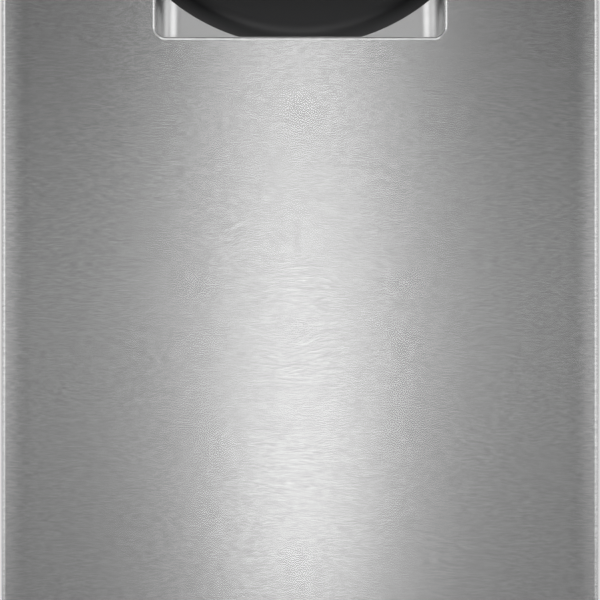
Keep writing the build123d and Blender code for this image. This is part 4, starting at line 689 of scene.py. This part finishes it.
class DISHWASHER_OT_cabinet(Operator):
    """Finishes the tub, base, feet, pumps and small fittings"""
    bl_idname = "dishwasher.cabinet"
    bl_label = "Finish cabinet"

    def execute(self, context):
        tub = satin_steel("Tub steel", (0.60, 0.60, 0.60), 0.28)
        dress(tub, "tub_wrapper", "tub_back", "tub_floor", "front_frame")
        dress(satin_steel("Rail steel", (0.66, 0.66, 0.66), 0.2, grain=120.0), "slide_rail_outer")
        zinc = zinc_plate("Base zinc", (0.50, 0.51, 0.52), 0.4)
        dress(zinc, "base_frame", "mounting_brackets", "door_strike", "hinge_pins", "junction_box")
        dress(powder_coat("Toe kick black", (0.022, 0.022, 0.023), 0.45), "toe_kick")
        dark = moulded_plastic("Base pan black", (0.035, 0.035, 0.037), 0.5, texture=500.0)
        dress(dark, "base_pan", "sump", "drain_pump")
        dress(dark, "foot_front_left", "foot_front_right", "foot_rear_left", "foot_rear_right")
        light = moulded_plastic("Feed pipe white", (0.66, 0.67, 0.66), 0.4)
        dress(light, "feed_conduit", "inlet_valve", "wash_impeller")
        dress(zinc_plate("Motor metal", (0.46, 0.46, 0.47), 0.45), "wash_pump")
        dress(satin_steel("Filter steel", (0.5, 0.5, 0.5), 0.34), "filter_plate")
        grey = moulded_plastic("Wash arm grey", (0.33, 0.34, 0.36), 0.42)
        dress(grey, "filter_cylinder", "float_switch", "lower_spray_arm", "top_spray_arm")
        return {"FINISHED"}


class DISHWASHER_OT_blanket(Operator):
    """Makes the felt sound blanket that wraps the sides and top of the tub"""
    bl_idname = "dishwasher.blanket"
    bl_label = "Make sound blanket"

    def execute(self, context):
        low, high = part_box("insulation_blanket")
        wall = 0.0135
        half = high.x - 0.0005
        top = high.z - 0.0005
        corner = 0.040
        run = [(-half, 0, low.z), (-half, 0, top), (half, 0, top), (half, 0, low.z)]
        section = rounded_run(run, corner, steps=8)
        bm = bmesh.new()
        last = None
        for point in section:
            vert = bm.verts.new((point.x, low.y + 0.002, point.z))
            if last is not None:
                bm.edges.new((last, vert))
            last = vert
        long_edges = [edge for edge in bm.edges if edge.calc_length() > 0.1]
        bmesh.ops.subdivide_edges(bm, edges=long_edges, cuts=24)
        depth = high.y - low.y - 0.004
        rows = 26
        edges = list(bm.edges)
        for _ in range(rows):
            grown = bmesh.ops.extrude_edge_only(bm, edges=edges)["geom"]
            moved = [item for item in grown if isinstance(item, bmesh.types.BMVert)]
            bmesh.ops.translate(bm, verts=moved, vec=(0, depth / rows, 0))
            edges = [item for item in grown if isinstance(item, bmesh.types.BMEdge)]
        unevenness = 0.0022
        rolls = random.Random(4)
        centre = Vector((0, 0, (low.z + top) / 2))
        for vert in bm.verts:
            inward = centre - Vector((vert.co.x, 0, vert.co.z))
            vert.co += inward.normalized() * rolls.uniform(0, unevenness)
        bmesh.ops.recalc_face_normals(bm, faces=bm.faces)
        if max(bm.faces, key=lambda face: face.calc_center_median().z).normal.z < 0:
            bmesh.ops.reverse_faces(bm, faces=bm.faces)
        felt = needled_felt("Blanket felt", context.scene.dishwasher_cabinet.felt)
        blanket = mesh_from_open("sound_blanket", bm, felt)
        thicken_felt(blanket, wall - 0.0025, -1)
        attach(blanket, "cabinet")
        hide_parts("insulation_blanket")
        return {"FINISHED"}


class DISHWASHER_OT_gasket(Operator):
    """Makes the rubber door gasket as a round bulb"""
    bl_idname = "dishwasher.gasket"
    bl_label = "Make door gasket"

    def execute(self, context):
        low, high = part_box("door_gasket")
        bulb = 0.0092
        y = low.y + bulb / 2 + 0.0002
        inset = bulb / 2 + 0.0004
        corners = [
            (low.x + inset, y, low.z + 0.001), (low.x + inset, y, high.z - inset),
            (high.x - inset, y, high.z - inset), (high.x - inset, y, low.z + 0.001),
        ]
        curve = wire_curve("gasket_bulb", bulb)
        curve.bevel_resolution = 4
        add_wire(curve, rounded_run(corners, 0.034, steps=8))
        rubber = soft_rubber("Gasket rubber", (0.035, 0.035, 0.037))
        gasket = mesh_from_curve("door_gasket_bulb", curve, rubber)
        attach(gasket, "cabinet")
        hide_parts("door_gasket")
        return {"FINISHED"}


class DISHWASHER_OT_springs(Operator):
    """Winds the two door springs inside the channels of the base"""
    bl_idname = "dishwasher.springs"
    bl_label = "Make door springs"

    def execute(self, context):
        low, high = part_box("door_springs")
        turns = context.scene.dishwasher_cabinet.spring_turns
        centre_z = (low.z + high.z) / 2
        coil_radius = (high.z - low.z) / 2 - 0.0012
        front, back = -0.185, -0.070
        spring_x, wire, tail, points_a_turn = 0.2793, 0.0022, 0.006, 12
        steel = satin_steel("Oiled spring steel", (0.30, 0.30, 0.31), 0.32, grain=200.0)
        for hand, side_name in ((-1, "left"), (1, "right")):
            x = hand * spring_x
            curve = wire_curve("spring_" + side_name, wire)
            points = [Vector((x, low.y, centre_z)), Vector((x, front - tail, centre_z))]
            steps = turns * points_a_turn
            for step in range(steps + 1):
                angle = 2 * math.pi * step / points_a_turn
                along = front + (back - front) * step / steps
                across = Vector((math.cos(angle), 0, math.sin(angle))) * coil_radius
                points.append(Vector((x, along, centre_z)) + across)
            points += [Vector((x, back + tail, centre_z)), Vector((x, high.y, centre_z))]
            add_wire(curve, points)
            spring = mesh_from_curve("door_spring_" + side_name, curve, steel)
            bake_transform(spring)
            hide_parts("door_springs")
        return {"FINISHED"}


class DISHWASHER_OT_racks(Operator):
    """Bends the wires of the three racks, the folding tine row and the cup shelf"""
    bl_idname = "dishwasher.racks"
    bl_label = "Make racks"

    def execute(self, context):
        settings = context.scene.dishwasher_racks
        coating = moulded_plastic("Rack coating", settings.wire, 0.34, texture=700.0)
        self.lower_rack(settings, coating)
        self.upper_rack(settings, coating)
        self.third_rack(settings, coating)
        self.folding_row(settings, coating)
        self.cup_shelf(settings, coating)
        steel = satin_steel("Slide steel", (0.66, 0.66, 0.66), 0.2, grain=120.0)
        dress(steel, "slide_rail_middle", "upper_rail_inner", "third_rail_inner")
        grey = moulded_plastic("Rack pipe grey", (0.33, 0.34, 0.36), 0.42)
        dress(grey, "rack_feed_pipe", "middle_spray_arm")
        return {"FINISHED"}

    def lower_rack(self, settings, coating):
        """The lower rack, with its fixed tine rows, wheel brackets and axles."""
        low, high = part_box("lower_rack")
        floor = 0.198
        half = 0.236
        low = Vector((-half, low.y, floor))
        high = Vector((half, high.y, high.z))
        curve = basket_curve("lower_rack", low, high, settings, (0.5, 1))
        row_places, first_tine, last_tine, tine_height = (-0.150, -0.062), -0.194, 0.230, 0.076
        tines = spread(first_tine, last_tine, TINE_PITCH)
        for x in row_places:
            comb_wires(curve, x, tines, floor + UPPER_LAYER, tine_height)
        axle_end, axle_thickness = 0.256, 2.4
        for wheels in ("front_wheels", "rear_wheels"):
            wheel_low, wheel_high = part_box(wheels)
            y = (wheel_low.y + wheel_high.y) / 2
            z = (wheel_low.z + wheel_high.z) / 2
            for hand in (-1, 1):
                x = hand * (half - 0.0016)
                bracket = [(x, y - 0.010, floor), (x, y - 0.006, z), (x, y + 0.006, z), (x, y + 0.010, floor)]
                add_wire(curve, rounded_run(bracket, 0.005))
                add_wire(curve, [Vector((x, y, z)), Vector((hand * axle_end, y, z))], axle_thickness)
        rack = mesh_from_curve("lower_rack_wires", curve, coating)
        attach(rack, "lower_basket")
        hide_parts("lower_rack")

    def upper_rack(self, settings, coating):
        """The upper rack, with its two tine rows."""
        low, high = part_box("upper_rack")
        curve = basket_curve("upper_rack", low, high, settings, (0.5, 1))
        row_places, pitch, tine_height = (0.060, 0.150), 0.041, 0.054
        tines = spread(low.y + 0.026, high.y - 0.030, pitch)
        for x in row_places:
            comb_wires(curve, x, tines, low.z + UPPER_LAYER, tine_height)
        rack = mesh_from_curve("upper_rack_wires", curve, coating)
        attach(rack, "upper_basket")
        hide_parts("upper_rack")

    def third_rack(self, settings, coating):
        """The shallow third rack, with closer wires for cutlery."""
        low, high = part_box("third_rack")
        curve = basket_curve("third_rack", low, high, settings, (0.55, 1))
        side_margin, end_margin = 0.030, 0.010
        front, back, level = low.y + end_margin, high.y - end_margin, low.z + UPPER_LAYER
        for x in spread(low.x + side_margin, high.x - side_margin, settings.spacing * 0.6):
            add_wire(curve, [Vector((x, front, level)), Vector((x, back, level))])
        rack = mesh_from_curve("third_rack_wires", curve, coating)
        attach(rack, "third_basket")
        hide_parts("third_rack")

    def folding_row(self, settings, coating):
        """The tine row that folds down on its own base wire."""
        low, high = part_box("folding_tines")
        x = (low.x + high.x) / 2
        base = low.z + 0.0016
        journal = 0.0076
        curve = wire_curve("folding_row", settings.wire_diameter)
        add_wire(curve, [Vector((x, low.y, base)), Vector((x, high.y, base))])
        tines = spread(low.y + journal, high.y - journal, TINE_PITCH)
        comb_wires(curve, x, tines, base, high.z - base - 0.0005)
        row = mesh_from_curve("folding_tine_row", curve, coating)
        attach(row, "fold_row")
        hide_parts("folding_tines")

    def cup_shelf(self, settings, coating):
        """The folding cup shelf: a bent frame with cross wires."""
        low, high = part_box("cup_shelf")
        z = (low.z + high.z) / 2
        left, right = low.x + 0.0022, high.x - 0.0018
        front, back = low.y + 0.0018, high.y - 0.0018
        curve = wire_curve("cup_shelf", settings.wire_diameter)
        frame_run = [
            (left, (front + back) / 2, z), (left, front, z), (right, front, z), (right, back, z),
            (left, back, z), (left, (front + back) / 2, z),
        ]
        add_wire(curve, rounded_run(frame_run, 0.014), settings.rim_diameter / settings.wire_diameter * 0.95)
        for y in spread(front + 0.024, back - 0.024, settings.spacing * 0.8):
            add_wire(curve, [Vector((left, y, z)), Vector((right, y, z))], 0.8)
        shelf = mesh_from_curve("cup_shelf_wires", curve, coating)
        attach(shelf, "shelf")
        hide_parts("cup_shelf")


class DISHWASHER_OT_wheels(Operator):
    """Turns the rack wheels, with a rounded tread, a dished web and a hub"""
    bl_idname = "dishwasher.wheels"
    bl_label = "Make rack wheels"

    def execute(self, context):
        grey = moulded_plastic("Rack wheel grey", (0.27, 0.28, 0.30), 0.4)
        for node, body in (("front_wheels", "front_wheel_pair"), ("rear_wheels", "rear_wheel_pair")):
            low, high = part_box(node)
            centre_y = (low.y + high.y) / 2
            centre_z = (low.z + high.z) / 2
            radius = (high.z - low.z) / 2
            width, bore = 0.012, 0.0042
            bm = bmesh.new()
            for hand in (-1, 1):
                x = hand * (high.x - width / 2)
                self.wheel(bm, Vector((x, centre_y, centre_z)), radius, width, bore)
            wheels = mesh_from(node + "_moulded", bm, grey)
            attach(wheels, body)
            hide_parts(node)
        return {"FINISHED"}

    def wheel(self, bm, centre, radius, width, bore):
        """Spins the section of one wheel round its axle."""
        half, web, foot, hub_wall = width / 2, 0.0018, 0.0045, 0.0035
        tread_wall, tread_taper, tread_round = 0.0030, 0.0006, 0.0016
        section = [
            (-half, bore), (half, bore), (half, bore + hub_wall), (web, bore + foot), (web, radius - foot),
            (half - tread_taper, radius - tread_wall), (half, radius - tread_round),
            (half - tread_round, radius), (-half + tread_round, radius), (-half, radius - tread_round),
            (-half + tread_taper, radius - tread_wall), (-web, radius - foot), (-web, bore + foot),
            (-half, bore + hub_wall),
        ]
        verts = [bm.verts.new(centre + Vector((along, 0, out))) for along, out in section]
        edges = [bm.edges.new((a, b)) for a, b in zip(verts, verts[1:] + verts[:1])]
        bmesh.ops.spin(
            bm, geom=verts + edges, cent=centre, axis=(1, 0, 0), dvec=(0, 0, 0),
            angle=2 * math.pi, steps=40, use_merge=True,
        )


class DISHWASHER_OT_cutlery_basket(Operator):
    """Moulds the cutlery basket, with latticed walls, three dividers and a loop handle"""
    bl_idname = "dishwasher.cutlery_basket"
    bl_label = "Make cutlery basket"

    def execute(self, context):
        low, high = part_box("cutlery_basket")
        wall, wall_height, cells = 0.0024, 0.104, 4
        top = low.z + wall_height
        middle = (low + high) / 2
        grey = moulded_plastic("Basket grey", (0.30, 0.31, 0.33), 0.4)
        bm = bmesh.new()
        length = high.y - low.y - wall
        across = high.x - low.x - wall
        height = top - low.z - wall
        wall_z = (low.z + wall + top) / 2
        for x in (low.x + wall / 2, high.x - wall / 2):
            self.lattice(bm, Vector((x, middle.y, wall_z)), length, height, "X")
        for place in range(cells + 1):
            y = low.y + wall / 2 + length * place / cells
            self.lattice(bm, Vector((middle.x, y, wall_z)), across, height, "Y")
        self.lattice(bm, Vector((middle.x, middle.y, low.z + wall / 2)), across, length, "Z")
        basket = mesh_from_open("cutlery_basket_lattice", bm, grey)
        thicken = basket.modifiers.new("Wall thickness", "SOLIDIFY")
        thicken.thickness = wall
        thicken.offset = 0
        self.keep(basket)

        rim = 0.0046
        curve = wire_curve("cutlery_rims", rim)
        inset = rim / 2
        corners = [
            (low.x + inset, middle.y, top - inset), (low.x + inset, high.y - inset, top - inset),
            (high.x - inset, high.y - inset, top - inset), (high.x - inset, low.y + inset, top - inset),
            (low.x + inset, low.y + inset, top - inset), (low.x + inset, middle.y, top - inset),
        ]
        add_wire(curve, rounded_run(corners, 0.004))
        half = 0.0106
        peak = high.z - inset
        loop = [
            (middle.x - half, middle.y, top - 0.006), (middle.x - half, middle.y, peak),
            (middle.x + half, middle.y, peak), (middle.x + half, middle.y, top - 0.006),
        ]
        add_wire(curve, rounded_run(loop, 0.008, steps=6))
        self.keep(mesh_from_curve("cutlery_basket_rims", curve, grey))
        return {"FINISHED"}

    def lattice(self, bm, centre, width, height, facing):
        """One latticed wall: a grid whose cells are inset and opened, with a solid border."""
        cell, bar = 0.0085, 0.0012
        columns = max(2, round(width / cell))
        rows = max(2, round(height / cell))
        grid = bmesh.ops.create_grid(bm, x_segments=columns, y_segments=rows, size=0.5)
        if facing == "X":
            turn = Matrix.Rotation(math.pi / 2, 4, "Z") @ Matrix.Rotation(math.pi / 2, 4, "X")
        elif facing == "Y":
            turn = Matrix.Rotation(math.pi / 2, 4, "X")
        else:
            turn = Matrix.Identity(4)
        place = Matrix.Translation(centre) @ turn @ Matrix.Diagonal((width, height, 1, 1))
        bmesh.ops.transform(bm, matrix=place, verts=grid["verts"])
        faces = {face for vert in grid["verts"] for face in vert.link_faces}
        inner = [face for face in faces if not any(edge.is_boundary for edge in face.edges)]
        bmesh.ops.inset_individual(bm, faces=inner, thickness=bar)
        bmesh.ops.delete(bm, geom=inner, context="FACES_ONLY")

    def keep(self, piece):
        """Ties a piece to the basket's body in place of its solid."""
        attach(piece, "cutlery")
        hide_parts("cutlery_basket")


class DISHWASHER_OT_studio(Operator):
    """Sets the pale floor, the soft lamps, the world and the camera"""
    bl_idname = "dishwasher.studio"
    bl_label = "Set studio"

    def execute(self, context):
        light = context.scene.dishwasher_studio
        context.scene.view_settings.view_transform = "Standard"
        self.floor(light)
        self.world(context.scene, light)
        face_y = DOOR_LOW.y
        power = {
            "band": light.band_watts, "wide": light.wide_watts,
            "side": light.side_watts, "top": light.top_watts,
        }
        for name, (x, ahead, z), aim_height, size, group, share in LAMPS:
            self.lamp(name, (x, face_y - ahead, z), (0, face_y, aim_height), size, power[group] * share)
        self.camera(context.scene, face_y)
        return {"FINISHED"}

    def floor(self, light):
        """A wide grey floor, made paler for the camera alone."""
        bm = bmesh.new()
        bmesh.ops.create_grid(bm, x_segments=8, y_segments=8, size=14)
        pale, shader = new_material("Pale floor", (0.28, 0.28, 0.28), 0.7)
        mottle = noise_value(pale, (3.0, 3.0, 3.0), detail=6.0)
        path = add_node(pale, "ShaderNodeLightPath")
        vary_colour(pale, mottle, (0.27, 0.27, 0.27), (0.29, 0.29, 0.29), shader.inputs["Base Color"])
        shader.inputs["Emission Color"].default_value = (1, 1, 1, 1)
        glow = number_step(pale, "MULTIPLY", path.outputs["Is Camera Ray"], light.floor)
        join_nodes(pale, glow, shader.inputs["Emission Strength"])
        plane = mesh_from_open("studio_floor", bm, pale)

    def world(self, scene, light):
        """A pale background, a dim room with a bright ceiling for reflections, and an even fill."""
        world = bpy.data.worlds.new("Studio world")
        scene.world = world
        world.use_nodes = True
        tree = world.node_tree
        backdrop = tree.nodes["Background"]
        backdrop.inputs["Color"].default_value = (1, 1, 1, 1)
        path = tree.nodes.new("ShaderNodeLightPath")
        direction = tree.nodes.new("ShaderNodeTexCoord")
        split = tree.nodes.new("ShaderNodeSeparateXYZ")
        ceiling = tree.nodes.new("ShaderNodeMapRange")
        ceiling.inputs["From Min"].default_value = 0.15
        ceiling.inputs["From Max"].default_value = 0.50
        ceiling.inputs["To Min"].default_value = light.reflection
        ceiling.inputs["To Max"].default_value = light.dome
        room = tree.nodes.new("ShaderNodeMix")
        room.inputs["A"].default_value = light.fill
        seen = tree.nodes.new("ShaderNodeMix")
        seen.inputs["B"].default_value = light.background
        tree.links.new(direction.outputs["Generated"], split.inputs["Vector"])
        tree.links.new(split.outputs["Z"], ceiling.inputs["Value"])
        tree.links.new(ceiling.outputs["Result"], room.inputs["B"])
        tree.links.new(path.outputs["Is Glossy Ray"], room.inputs["Factor"])
        tree.links.new(room.outputs["Result"], seen.inputs["A"])
        tree.links.new(path.outputs["Is Camera Ray"], seen.inputs["Factor"])
        tree.links.new(seen.outputs["Result"], backdrop.inputs["Strength"])

    def lamp(self, name, place, target, size, watts):
        """A soft rectangular lamp that faces the target."""
        data = bpy.data.lights.new(name, "AREA")
        data.shape = "RECTANGLE"
        data.size, data.size_y = size
        data.energy = watts
        lamp = bpy.data.objects.new(name, data)
        aim = Vector(target) - Vector(place)
        lamp.matrix_world = Matrix.Translation(place) @ aim.to_track_quat("-Z", "Y").to_matrix().to_4x4()
        bpy.context.scene.collection.objects.link(lamp)

    def camera(self, scene, face_y):
        """A long lens straight in front of the door."""
        data = bpy.data.cameras.new("Studio camera")
        data.sensor_width = 36
        data.lens = data.sensor_width * CAMERA_DISTANCE / (2 * PHOTO_HALF_WIDTH)
        data.clip_end = 100
        camera = bpy.data.objects.new("Studio camera", data)
        camera.location = (0, face_y - CAMERA_DISTANCE, PHOTO_CENTRE_HEIGHT)
        camera.rotation_euler = (math.radians(90), 0, 0)
        scene.collection.objects.link(camera)
        scene.camera = camera


OPERATORS = (
    DISHWASHER_OT_door,
    DISHWASHER_OT_door_inside,
    DISHWASHER_OT_cabinet,
    DISHWASHER_OT_blanket,
    DISHWASHER_OT_gasket,
    DISHWASHER_OT_springs,
    DISHWASHER_OT_racks,
    DISHWASHER_OT_wheels,
    DISHWASHER_OT_cutlery_basket,
    DISHWASHER_OT_studio,
)


class VIEW3D_PT_dishwasher(Panel):
    """Lists the steps that dress the dishwasher"""
    bl_idname = "VIEW3D_PT_dishwasher"
    bl_label = "Dishwasher"
    bl_space_type = "VIEW_3D"
    bl_region_type = "UI"
    bl_category = "Dishwasher"

    def draw(self, context):
        for operator in OPERATORS:
            self.layout.operator(operator.bl_idname)
        for settings in (
            context.scene.dishwasher_door, context.scene.dishwasher_racks,
            context.scene.dishwasher_cabinet, context.scene.dishwasher_studio,
        ):
            box = self.layout.box()
            for name in settings.__annotations__:
                box.prop(settings, name)


SETTINGS = {
    "dishwasher_door": DoorFinish,
    "dishwasher_racks": RackFinish,
    "dishwasher_cabinet": CabinetFinish,
    "dishwasher_studio": StudioLight,
}


def register():
    """Registers the settings, the operators and the panel."""
    for name, settings in SETTINGS.items():
        bpy.utils.register_class(settings)
        setattr(bpy.types.Scene, name, bpy.props.PointerProperty(type=settings))
    for operator in OPERATORS:
        bpy.utils.register_class(operator)
    bpy.utils.register_class(VIEW3D_PT_dishwasher)


def unregister():
    """Takes the panel, the operators and the settings away again."""
    bpy.utils.unregister_class(VIEW3D_PT_dishwasher)
    for operator in reversed(OPERATORS):
        bpy.utils.unregister_class(operator)
    for name, settings in SETTINGS.items():
        delattr(bpy.types.Scene, name)
        bpy.utils.unregister_class(settings)


def main():
    """Runs every step in order."""
    register()
    bpy.ops.dishwasher.door()
    bpy.ops.dishwasher.door_inside()
    bpy.ops.dishwasher.cabinet()
    bpy.ops.dishwasher.blanket()
    bpy.ops.dishwasher.gasket()
    bpy.ops.dishwasher.springs()
    bpy.ops.dishwasher.racks()
    bpy.ops.dishwasher.wheels()
    bpy.ops.dishwasher.cutlery_basket()
    bpy.ops.dishwasher.studio()


if __name__ == "__main__":
    main()
